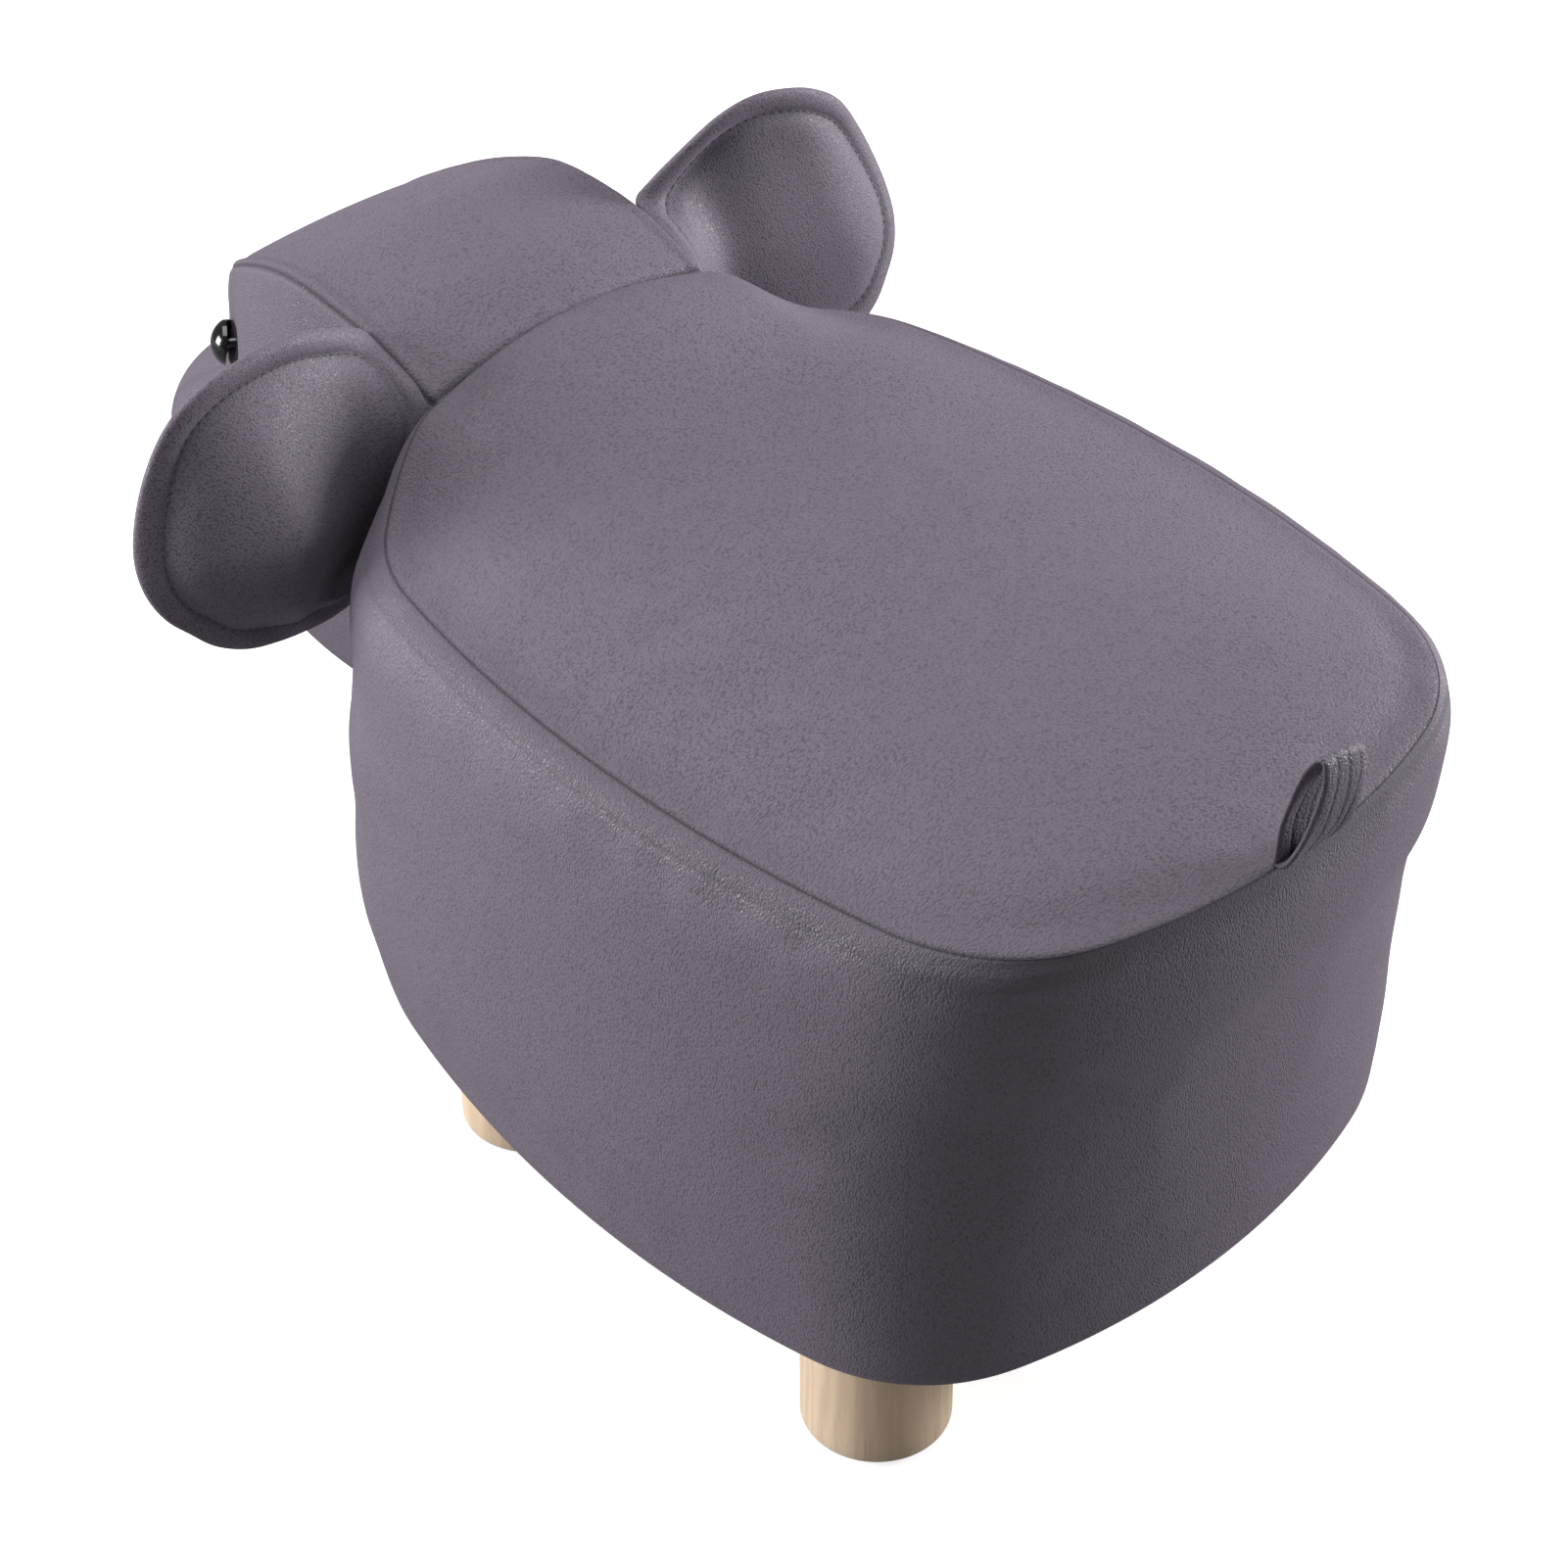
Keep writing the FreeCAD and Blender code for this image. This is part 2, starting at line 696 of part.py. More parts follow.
def build_frame(screws, bolts):
    """Boards, posts and rails that carry the sitter."""
    legs = leg_places().values()
    base = board(frame_half_width, frame_half_length, frame_corner, frame_low, board_thickness)
    for x, y in legs:
        base = base.cut(Part.makeCylinder(nut_barrel_radius, board_thickness, vector(x, y, frame_low)))
    write(base.cut(screws).cut(staples()), "base_board")
    seat = board(frame_half_width, frame_half_length, frame_corner, seat_board_low, board_thickness)
    write(seat.cut(screws), "seat_board")
    skin_height = seat_board_top - frame_low
    skin = board(
        frame_half_width + side_board_thickness,
        frame_half_length + side_board_thickness,
        frame_corner + side_board_thickness,
        frame_low,
        skin_height)
    inside = board(frame_half_width, frame_half_length, frame_corner, frame_low, skin_height)
    write(skin.cut(inside).cut(bolts), "side_board")
    post_height = seat_board_low - board_top
    for name, (x, y) in post_places().items():
        post = box_at(x, y, board_top, post_size, post_size, post_height)
        write(post.cut(screws), "post_" + name)
    for name, sign in (("left_rail", 1), ("right_rail", -1)):
        x = sign * side_rail_across
        rail = box_at(x, -frame_forward, rail_low, rail_thickness, side_rail_length, rail_height)
        write(rail, name)
    end_rail_length = 2 * post_across - post_size
    for name, sign in (("rear_rail", 1), ("front_rail", -1)):
        y = sign * post_along - frame_forward
        rail = box_at(0, y, rail_low, end_rail_length, rail_thickness, rail_height)
        write(rail.cut(bolts), name)
    middle_length = 2 * side_rail_across - rail_thickness
    middle = box_at(0, -frame_forward, rail_low, middle_length, rail_thickness, rail_height)
    write(middle, "middle_rail")
    write(Part.makeCompound(screws), "frame_screws")


def build_underside():
    """The cloth that closes the underside, its staples and the nuts for the legs."""
    cloth = board(
        frame_half_width,
        frame_half_length,
        frame_corner,
        frame_low - dust_cover_thickness,
        dust_cover_thickness)
    for x, y in leg_places().values():
        radius = leg_radius + dust_cover_clearance
        cloth = cloth.cut(Part.makeCylinder(radius, frame_low, vector(x, y, 0)))
    write(cloth.cut(staples()), "dust_cover")
    write(Part.makeCompound(staples()), "cover_staples")
    write(Part.makeCompound([leg_nut(x, y) for x, y in leg_places().values()]), "leg_nuts")


def build_legs():
    """Four turned legs, each with its own bolt, washer and glide."""
    for name, (x, y) in leg_places().items():
        leg, bolt, washer, glide = leg_parts(x, y)
        write(leg, "leg_" + name)
        write(bolt, "leg_bolt_" + name)
        write(washer, "leg_washer_" + name)
        write(glide, "leg_glide_" + name)


def build_head(body, bolts):
    """Filling, covers and board of the head, with its trunk and eyes."""
    head = head_solid(0)
    filling = head_solid(cover_thickness)
    eye, washer = eye_parts(head)
    eyes = {"left": eye, "right": mirrored(eye)}
    washers = {"left": washer, "right": mirrored(washer)}
    fittings = list(eyes.values()) + list(washers.values())
    neck_board = Part.makeBox(
        neck_board_width,
        board_thickness,
        neck_board_height,
        vector(-neck_board_width / 2, neck_board_front(), neck_board_low))
    shell = head.cut(filling).cut(body).cut(fittings).cut(bolts)
    wedge = head_top_wedge()
    write(shell.common(wedge), "head_top_panel")
    write(shell.cut(wedge), "head_face_band")
    write(filling.cut(body).cut(fittings).cut(bolts).cut(neck_board), "head_filling")
    write(neck_board.cut(bolts), "neck_board")
    write(Part.makeCompound(bolts), "neck_bolts")
    for side in ("left", "right"):
        write(eyes[side], side + "_eye")
        write(washers[side], side + "_eye_washer")
    write(trunk_solid().cut(head), "trunk")
    return head


def build_ears(body, head):
    """Both ears and the sewn roots that they swing on."""
    ear = ear_solid()
    root = ear_root_solid(ear_root_radius, 0).cut(head).cut(body)
    write(ear, "left_ear")
    write(mirrored(ear), "right_ear")
    write(root, "left_ear_root")
    write(mirrored(root), "right_ear_root")


def build_all():
    """Every piece of the stool."""
    bolts = neck_bolts()
    body = build_body(bolts)
    build_frame(frame_screws(), bolts)
    build_underside()
    build_legs()
    head = build_head(body, bolts)
    build_ears(body, head)
    write(tail_solid(), "tail_loop")


build_all()
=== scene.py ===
import functools
import math
from types import SimpleNamespace

import bmesh
import bpy
import numpy as np
from bpy.props import FloatProperty, FloatVectorProperty, PointerProperty
from mathutils import Matrix, Vector
from mathutils.bvhtree import BVHTree


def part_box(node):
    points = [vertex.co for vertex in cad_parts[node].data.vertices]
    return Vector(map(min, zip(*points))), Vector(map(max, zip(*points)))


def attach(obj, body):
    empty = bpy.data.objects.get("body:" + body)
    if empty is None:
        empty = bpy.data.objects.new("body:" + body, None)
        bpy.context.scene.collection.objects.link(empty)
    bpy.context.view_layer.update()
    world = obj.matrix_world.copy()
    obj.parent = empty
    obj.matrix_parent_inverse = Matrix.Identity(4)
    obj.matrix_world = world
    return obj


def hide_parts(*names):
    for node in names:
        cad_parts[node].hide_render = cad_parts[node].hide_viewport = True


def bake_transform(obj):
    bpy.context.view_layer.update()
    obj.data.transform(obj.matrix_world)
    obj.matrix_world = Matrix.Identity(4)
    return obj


bl_info = {
    "name": "Elephant footstool",
    "version": (1, 0, 0),
    "blender": (4, 5, 0),
    "location": "View3D > Sidebar > Footstool",
    "description": "Dresses the footstool's frame with its padded cover, ears, tail, seams and finishes",
    "category": "Object",
}

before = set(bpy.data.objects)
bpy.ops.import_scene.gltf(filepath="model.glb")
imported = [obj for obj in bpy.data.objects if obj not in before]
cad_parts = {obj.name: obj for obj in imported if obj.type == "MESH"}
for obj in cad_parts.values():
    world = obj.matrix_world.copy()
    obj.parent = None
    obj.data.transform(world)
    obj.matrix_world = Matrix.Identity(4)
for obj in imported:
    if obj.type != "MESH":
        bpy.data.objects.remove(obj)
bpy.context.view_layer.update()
MM = 0.001

# The rear legs stand this far behind the body's plan centre, in millimetres
REAR_LEG_ALONG = 105.0
LEG_LOW, LEG_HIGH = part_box("leg_rear_left")
# The body's plan centre lies this far behind the row's origin, in millimetres
SHIFT = ((LEG_LOW + LEG_HIGH) / 2).y / MM - REAR_LEG_ALONG


# ---------------------------------------------------------------- sizes and colours


def size(label, default, about):
    """A length property, given in millimetres and kept in metres."""
    return FloatProperty(name=label, description=about, default=default * MM, unit="LENGTH", precision=4)


def ratio(label, default, about):
    """A property that is a share of something."""
    return FloatProperty(name=label, description=about, default=default, subtype="FACTOR", precision=3)


def paint(label, default, about):
    """A colour property, as linear light."""
    return FloatVectorProperty(name=label, description=about, default=default, subtype="COLOR")


def watts(label, default, about):
    """A lamp's power property."""
    return FloatProperty(name=label, description=about, default=default, unit="POWER")


class BodySizes(bpy.types.PropertyGroup):
    """The seat and the side band, measured from the body's plan centre."""

    seam_half_width: size("Seam half width", 149.5, "Half the seat's width at its seam")
    seam_half_length: size("Seam half length", 198.5, "Half the seat's length at its seam")
    seam_corner: size("Seam corner", 75.0, "Corner radius of the seam in plan")
    seam_height: size("Seam height", 282.0, "Height of the seam at the middle of the side")
    seam_slope: ratio("Seam slope", 0.022, "Fall of the seam from neck to tail")
    crown: size("Crown", 20.0, "Rise of the seat's middle over its seam")
    neck_rise: size("Neck rise", 27.0, "Climb of the seat's panel at the neck seam")
    neck_crown: size("Neck crown", 11.0, "Extra climb at the middle of the neck seam")
    neck_start: size("Neck start", 100.0, "Distance from the centre at which the climb starts")
    neck_half_width: size("Neck half width", 70.0, "Half width of the neck seam")
    shoulder_half_width: size("Shoulder half width", 118.0, "Half width at which the climb has died out")
    wall_half_width: size("Wall half width", 164.0, "Half width of the side band at its fullest")
    wall_half_length: size("Wall half length", 204.0, "Half length of the side band at its fullest")
    wall_corner: size("Wall corner", 80.0, "Corner radius of the side band in plan")
    wall_lean: size("Wall lean", 19.0, "How far the foot of the side band leans forwards")
    underside: size("Underside", 58.0, "Height of the underside")
    rear_flare: ratio("Rear flare", 0.047, "Share by which the band's foot widens to the rear")
    topstitch_drop: size("Topstitch drop", 12.5, "Distance of the topstitching below the seam")


class HeadSizes(bpy.types.PropertyGroup):
    """The head and the trunk."""

    neck_front: size("Neck front", 188.75, "Distance of the neck seam from the body's centre")
    reach: size("Reach", 185.0, "Length of the head ahead of the neck seam")
    half_width: size("Half width", 82.0, "Half width of the head")
    underside: size("Underside", 129.0, "Height of the chin line")
    height: size("Height", 210.0, "Height of the head above its chin line")
    topstitch_inset: size("Topstitch inset", 6.5, "Distance of the topstitching from the head's top seam")
    trunk_reach: size("Trunk reach", 106.0, "How far the trunk runs ahead of its root")
    trunk_root_depth: size("Trunk root depth", 38.0, "Depth of the trunk's root inside the face")
    trunk_root_height: size("Trunk root height", 222.0, "Height of the trunk's middle at its root")
    trunk_tip_height: size("Trunk tip height", 66.0, "Height of the trunk's tip")
    trunk_radius: size("Trunk radius", 40.0, "Radius of the trunk at its root")


class EarSizes(bpy.types.PropertyGroup):
    """The ears."""

    thickness: size("Thickness", 6.5, "Thickness of the padded ear")
    rim_width: size("Rim width", 10.0, "Distance of the stitched line from the ear's edge")
    rim_thickness: size("Rim thickness", 5.6, "Thickness of the puffed rim")


class TailSizes(bpy.types.PropertyGroup):
    """The tail loop."""

    width: size("Width", 26.0, "Width of the strap")
    height: size("Height", 56.0, "Height of the loop along its lean")
    gap: size("Gap", 9.0, "Room inside the loop")
    strap: size("Strap", 2.4, "Thickness of the strap")
    lean: FloatProperty(
        name="Lean", description="Backward lean of the loop", default=math.radians(14.0), subtype="ANGLE")


class Finishes(bpy.types.PropertyGroup):
    """Colours of the finishes."""

    suede: paint("Suede", (0.162, 0.136, 0.175), "Colour of the suede cover")
    thread: paint("Thread", (0.075, 0.066, 0.080), "Colour of the sewing thread")
    leg_wood: paint("Leg wood", (0.90, 0.68, 0.49), "Colour of the turned legs")
    frame_wood: paint("Frame wood", (0.52, 0.34, 0.18), "Colour of the hidden timber")


class StageSizes(bpy.types.PropertyGroup):
    """The camera and the lamps."""

    lens: FloatProperty(
        name="Lens", description="Focal length on a 36 mm wide sensor", default=90.11, unit="CAMERA")
    key_power: watts("Key power", 58.0, "Power of the lamp ahead on the left")
    fill_power: watts("Fill power", 60.0, "Power of the lamp on the right")
    top_power: watts("Top power", 42.0, "Power of the lamp overhead")
    world_strength: ratio("World strength", 0.25, "Strength of the even light from all round")


class FootstoolSettings(bpy.types.PropertyGroup):
    """All that a user may change."""

    body: PointerProperty(type=BodySizes)
    head: PointerProperty(type=HeadSizes)
    ear: PointerProperty(type=EarSizes)
    tail: PointerProperty(type=TailSizes)
    finish: PointerProperty(type=Finishes)
    stage: PointerProperty(type=StageSizes)


def settings():
    """The footstool's sizes, colours and lamps."""
    return bpy.context.scene.footstool


def sizes(part):
    """A part's values: lengths in millimetres, the others as they are kept."""
    group = getattr(settings(), part)
    values = {}
    for name in type(group).__annotations__:
        value = getattr(group, name)
        is_length = group.bl_rna.properties[name].unit == "LENGTH"
        values[name] = round(value / MM, 3) if is_length else value
    return SimpleNamespace(**values)


# ---------------------------------------------------------------- node trees


class Sock:
    """A node's output that can be added, subtracted and scaled like a number."""

    def __init__(self, nodes, socket):
        self.nodes = nodes
        self.socket = socket

    def maths(self, operation, first, second):
        """The result of a maths node."""
        return self.nodes.add("ShaderNodeMath", {"operation": operation}, {0: first, 1: second})

    def __add__(self, other):
        return self.maths("ADD", self, other)

    def __radd__(self, other):
        return self.maths("ADD", other, self)

    def __sub__(self, other):
        return self.maths("SUBTRACT", self, other)

    def __rsub__(self, other):
        return self.maths("SUBTRACT", other, self)

    def __mul__(self, other):
        return self.maths("MULTIPLY", self, other)

    def clamped(self):
        """The value kept between 0 and 1."""
        return self.nodes.add("ShaderNodeClamp", {}, {"Value": self, "Min": 0.0, "Max": 1.0})


class Nodes:
    """A node tree being built."""

    def __init__(self, tree):
        self.tree = tree
        tree.nodes.clear()

    def add(self, kind, options, sockets, output=0):
        """Adds a node with its options and its sockets' values or links, and gives one of its outputs."""
        made = self.tree.nodes.new(kind)
        for name, value in options.items():
            setattr(made, name, value)
        for name, value in sockets.items():
            socket = made.inputs[name]
            if isinstance(value, Sock):
                self.tree.links.new(value.socket, socket)
            elif isinstance(value, tuple) and len(socket.default_value) == len(value) + 1:
                socket.default_value = (*value, 1.0)
            else:
                socket.default_value = value
        return Sock(self, made.outputs[output])

    def end(self, kind, result):
        """Links a result to a new output node."""
        self.tree.links.new(result.socket, self.tree.nodes.new(kind).inputs[0])

    def stretched(self, point, factors):
        """A point scaled along each axis."""
        return self.add("ShaderNodeVectorMath", {"operation": "MULTIPLY"}, {0: point, 1: factors})

    def place(self):
        """The point on the piece, in object coordinates."""
        return self.add("ShaderNodeTexCoord", {}, {}, "Object")

    def noise(self, point, scale, detail=2.0, roughness=0.5):
        """Soft noise from 0 to 1."""
        values = {"Vector": point, "Scale": scale, "Detail": detail, "Roughness": roughness}
        return self.add("ShaderNodeTexNoise", {}, values)

    def cells(self, point, scale=1.0, randomness=1.0):
        """Distance from the nearest of many scattered dots."""
        values = {"Vector": point, "Scale": scale, "Randomness": randomness}
        return self.add("ShaderNodeTexVoronoi", {"feature": "F1"}, values, "Distance")

    def mark(self, name):
        """A value from 0 to 1 that the mesh carries for each of its points."""
        return self.add("ShaderNodeAttribute", {"attribute_name": name}, {}, "Fac").clamped()

    def blend(self, factor, first, second):
        """A mix of two colours."""
        return self.add("ShaderNodeMix", {"data_type": "RGBA"}, {0: factor, 6: first, 7: second}, 2)

    def bump(self, height, distance, strength):
        """A bumped surface direction."""
        values = {"Height": height, "Distance": distance, "Strength": strength}
        return self.add("ShaderNodeBump", {}, values)

    def surface(self, **sockets):
        """Ends a material in one shader."""
        named = {name.replace("_", " "): value for name, value in sockets.items()}
        self.end("ShaderNodeOutputMaterial", self.add("ShaderNodeBsdfPrincipled", {}, named))


# ---------------------------------------------------------------- finishes


def shade(colour, factor):
    """A colour made lighter or darker."""
    return tuple(min(1.0, channel * factor) for channel in colour)


def tinted(colour, green, blue, factor):
    """A colour with less green and blue, made darker."""
    return shade((colour[0], colour[1] * green, colour[2] * blue), factor)


def suede(nodes, stretch, depth, contrast):
    """Faux suede: a pebbled grain drawn out one way, a soft nap, painted shade on the marked rolls, which are
    also glossier, and painted shade along the seams.
    """
    colour = tuple(settings().finish.suede)
    point = nodes.place()
    wander = nodes.add("ShaderNodeTexNoise", {}, {"Vector": point, "Scale": 300.0, "Detail": 2.0}, "Color")
    scattered = {0: wander, 1: (0.0007, 0.0007, 0.0007), 2: point}
    shifted = nodes.add("ShaderNodeVectorMath", {"operation": "MULTIPLY_ADD"}, scattered)
    drawn = nodes.stretched(shifted, stretch)
    cell = nodes.cells(drawn)
    pebble = (1.06 - cell * cell * 1.5).clamped()
    fine = nodes.noise(point, 2100.0, 2.0, 0.6)
    spark = ((nodes.noise(drawn, 1.1, 2.0, 0.6) - 0.5) * 6.0).clamped()
    nap = nodes.noise(point, 60.0, 3.0, 0.6)
    cloud = nodes.noise(point, 9.0)
    seam, roll = nodes.mark("seam"), nodes.mark("roll")
    fleck = (pebble * 0.8 + fine * 0.35 - 0.12).clamped()
    rubbed = nodes.blend(fleck, shade(colour, 1.0 - 0.56 * contrast), shade(colour, 1.0 + 0.24 * contrast))
    brushed = nodes.blend(((nap - 0.3) * 2.2).clamped(), shade(colour, 0.93), shade(colour, 1.08))
    mixed = nodes.blend(0.35, rubbed, brushed)
    drifted = nodes.blend(((cloud - 0.3) * 2.0).clamped() * 0.4, mixed, shade(colour, 1.1))
    # Painted shade: the roll mark darkens the colour on the rolls beside the seams and on other marked parts.
    roll_painted_shade = nodes.blend(roll, drifted, shade(colour, 0.72))
    # Painted shade: the seam mark darkens the colour almost to black along the seams.
    nodes.surface(
        Base_Color=nodes.blend(seam * 0.85, roll_painted_shade, shade(colour, 0.12)),
        Roughness=0.74 - spark * 0.3 - nap * 0.08 - roll * (spark * 0.32) + seam * 0.2,
        Normal=nodes.bump(pebble + fine * 0.4, roll * (depth * 0.5) + depth, 0.8),
        Sheen_Weight=0.12,
        Sheen_Roughness=0.5,
        Sheen_Tint=(0.86, 0.72, 0.95),
        Specular_IOR_Level=0.5,
    )


def thread(nodes):
    """Twisted sewing thread."""
    colour = tuple(settings().finish.thread)
    twist = nodes.noise(nodes.place(), 2600.0, 1.0)
    mixed = nodes.blend(twist, shade(colour, 0.7), shade(colour, 1.4))
    nodes.surface(Base_Color=mixed, Roughness=0.7, Normal=nodes.bump(twist, 0.0002, 0.5))


def wood(nodes, colour, streaks=1.0, tone=1.0):
    """Pale softwood with upright grain, pores and a few knots, in one of the settings' colours."""
    colour = shade(getattr(settings().finish, colour), tone)
    point = nodes.place()
    drift = nodes.noise(nodes.stretched(point, (9.0, 9.0, 2.0)), 3.0, 3.0, 0.6)
    fine = nodes.noise(nodes.stretched(point, (260.0, 260.0, 9.0)), 3.2, 4.0, 0.65)
    upright = nodes.stretched(point, (1.0, 1.0, 0.12))
    rings = nodes.add(
        "ShaderNodeTexWave",
        {"wave_type": "RINGS", "rings_direction": "Z", "wave_profile": "SIN"},
        {"Vector": upright, "Scale": 62.0, "Distortion": 6.0, "Detail": 3.0, "Detail Scale": 2.2},
        "Fac",
    )
    pores = nodes.noise(nodes.stretched(point, (420.0, 420.0, 26.0)), 2.2)
    pore = ((pores - 0.66) * 9.0).clamped() * streaks
    knots = nodes.cells(nodes.stretched(point, (26.0, 26.0, 15.0)))
    knot = (1.0 - knots * 6.0).clamped() * streaks
    grain = (rings * 0.5 + fine * 0.35 + drift * 0.35 - 0.1).clamped()
    grained = nodes.blend(grain, shade(colour, 1.14), shade(colour, 0.86))
    pored = nodes.blend(pore * 0.5, grained, tinted(colour, 0.8, 0.6, 0.5))
    nodes.surface(
        Base_Color=nodes.blend(knot * 0.7, pored, tinted(colour, 0.74, 0.5, 0.42)),
        Roughness=0.52 + fine * 0.12,
        Normal=nodes.bump(fine * 0.5 - pore * 0.8, 0.00025, 0.5),
        Coat_Weight=0.08,
        Coat_Roughness=0.35,
        Subsurface_Weight=0.3,
        Subsurface_Radius=(1.0, 0.7, 0.45),
        Subsurface_Scale=0.012,
    )


def even_grain(nodes, colour, roughness, grain=900.0, depth=0.0001, contrast=0.12, **more):
    """A finish with a fine even grain."""
    spots = nodes.noise(nodes.place(), grain, 3.0, 0.6)
    mixed = nodes.blend(spots, shade(colour, 1.0 - contrast), shade(colour, 1.0 + contrast))
    normal = nodes.bump(spots, depth, 0.5)
    nodes.surface(Base_Color=mixed, Roughness=roughness + spots * 0.08, Normal=normal, **more)


def black_cloth(nodes):
    """Thin non-woven black cloth with pressed dots."""
    point = nodes.place()
    dots = nodes.cells(point, 620.0, 0.15)
    fibre = nodes.noise(point, 1500.0, 3.0, 0.6)
    mixed = nodes.blend(
        (dots * 1.4 + fibre * 0.3).clamped(), (0.012, 0.012, 0.013), (0.034, 0.034, 0.036))
    nodes.surface(Base_Color=mixed, Roughness=0.86, Normal=nodes.bump(dots + fibre * 0.4, 0.0003, 0.6))


def white_floor(nodes):
    """A white floor that keeps a soft shadow near the object and is white further off."""
    lit = nodes.add("ShaderNodeBsdfDiffuse", {}, {"Color": (0.9, 0.9, 0.9)})
    glow = nodes.add("ShaderNodeEmission", {}, {"Color": (1.0, 1.0, 1.0), "Strength": 0.72})
    seen = nodes.add("ShaderNodeAddShader", {}, {0: lit, 1: glow})
    bounced = nodes.add("ShaderNodeBsdfDiffuse", {}, {"Color": (0.27, 0.27, 0.27)})
    camera_ray = nodes.add("ShaderNodeLightPath", {}, {}, "Is Camera Ray")
    mixed = nodes.add("ShaderNodeMixShader", {}, {0: camera_ray, 1: bounced, 2: seen})
    nodes.end("ShaderNodeOutputMaterial", mixed)


# Each finish: what makes it and with which values
FINISHES = {
    "suede": (suede, {"stretch": (760.0, 1250.0, 1100.0), "depth": 0.00026, "contrast": 1.4}),
    "ear_suede": (suede, {"stretch": (1150.0, 1150.0, 1150.0), "depth": 0.00013, "contrast": 1.5}),
    "band_suede": (suede, {"stretch": (1200.0, 1200.0, 760.0), "depth": 0.00022, "contrast": 1.1}),
    "thread": (thread, {}),
    "leg_wood": (wood, {"colour": "leg_wood"}),
    "frame_wood": (wood, {"colour": "frame_wood", "streaks": 0.5}),
    "board": (wood, {"colour": "frame_wood", "streaks": 0.3, "tone": 0.85}),
    "steel": (even_grain, {"colour": (0.55, 0.55, 0.56), "roughness": 0.3, "grain": 1200.0, "Metallic": 1.0}),
    "felt": (even_grain, {
        "colour": (0.06, 0.055, 0.052), "roughness": 0.9, "grain": 1400.0, "depth": 0.0005,
        "contrast": 0.35}),
    "washer_plastic": (even_grain, {"colour": (0.62, 0.62, 0.6), "roughness": 0.5}),
    "eye_black": (even_grain, {
        "colour": (0.004, 0.004, 0.005), "roughness": 0.12, "grain": 300.0, "depth": 0.00001, "contrast": 0.3,
        "Coat_Weight": 0.3, "Coat_Roughness": 0.05}),
    "underside_cloth": (black_cloth, {}),
    "floor": (white_floor, {}),
}


def emptied(owner):
    """The emptied node tree of a material or a world."""
    owner.use_nodes = True
    return Nodes(owner.node_tree)


@functools.cache
def finish_of(name):
    """A finish by name, made once."""
    material = bpy.data.materials.new(name)
    make, values = FINISHES[name]
    make(emptied(material), **values)
    return material


# ---------------------------------------------------------------- meshes from grids


def to_row(points):
    """Millimetres about the body's centre to metres in the row's frame."""
    placed = np.array(points, float) * MM
    placed[..., 1] += SHIFT * MM
    return placed


def linked(name, data):
    """A new object in the scene."""
    made = bpy.data.objects.new(name, data)
    bpy.context.scene.collection.objects.link(made)
    return made


def applied(piece):
    """The piece with its modifiers turned into plain mesh."""
    bpy.context.view_layer.update()
    evaluated = piece.evaluated_get(bpy.context.evaluated_depsgraph_get())
    mesh = bpy.data.meshes.new_from_object(evaluated)
    piece.modifiers.clear()
    old = piece.data
    piece.data = mesh
    bpy.data.meshes.remove(old)
    return piece


def cover(name, points, faces, finish, marks, closed=True):
    """A smooth suede piece from points in millimetres, with marks for its finish, subdivided once.

    A closed piece has its faces turned outwards.
    """
    mesh = bpy.data.meshes.new(name)
    mesh.from_pydata([tuple(point) for point in to_row(points).reshape(-1, 3)], [], faces)
    mesh.validate()
    mesh.polygons.foreach_set("use_smooth", [True] * len(mesh.polygons))
    for label, values in marks.items():
        attribute = mesh.attributes.new(label, "FLOAT", "POINT")
        attribute.data.foreach_set("value", np.ravel(values).astype(np.float32))
    piece = linked(name, mesh)
    mesh.materials.append(finish_of(finish))
    if closed:
        shell = bmesh.new()
        shell.from_mesh(mesh)
        bmesh.ops.recalc_face_normals(shell, faces=shell.faces)
        shell.to_mesh(mesh)
        shell.free()
    modifier = piece.modifiers.new("smooth", "SUBSURF")
    modifier.levels = modifier.render_levels = 1
    applied(piece)
    return piece


def grid_faces(rows, columns, closed, start=0, looped=False):
    """Quads of a grid: closed round its columns or not, and looped round its rows or not."""
    faces = []
    for row in range(rows if looped else rows - 1):
        low, high = start + row * columns, start + (row + 1) % rows * columns
        for column in range(columns if closed else columns - 1):
            after = (column + 1) % columns
            faces.append((low + column, low + after, high + after, high + column))
    return faces


def fan_faces(tip, first, columns):
    """Triangles from a tip to a closed row of points."""
    return [(tip, first + column, first + (column + 1) % columns) for column in range(columns)]


def grid_normals(points, closed):
    """Unit normals of a grid of points: across its columns, then up its rows."""
    across = np.roll(points, -1, 1) - np.roll(points, 1, 1) if closed else np.gradient(points, axis=1)
    normal = np.cross(across, np.gradient(points, axis=0))
    return normal / np.maximum(np.linalg.norm(normal, axis=2, keepdims=True), 1e-9)


def pushed(points, normals, distance):
    """Points moved along their normals."""
    return points + normals * distance[..., None]


def eased(value):
    """Zero to one with a level start and end."""
    value = np.clip(value, 0.0, 1.0)
    return value * value * (3.0 - 2.0 * value)


def hump(distance, width):
    """A soft ridge of height one."""
    return np.exp(-(distance / width) ** 2)


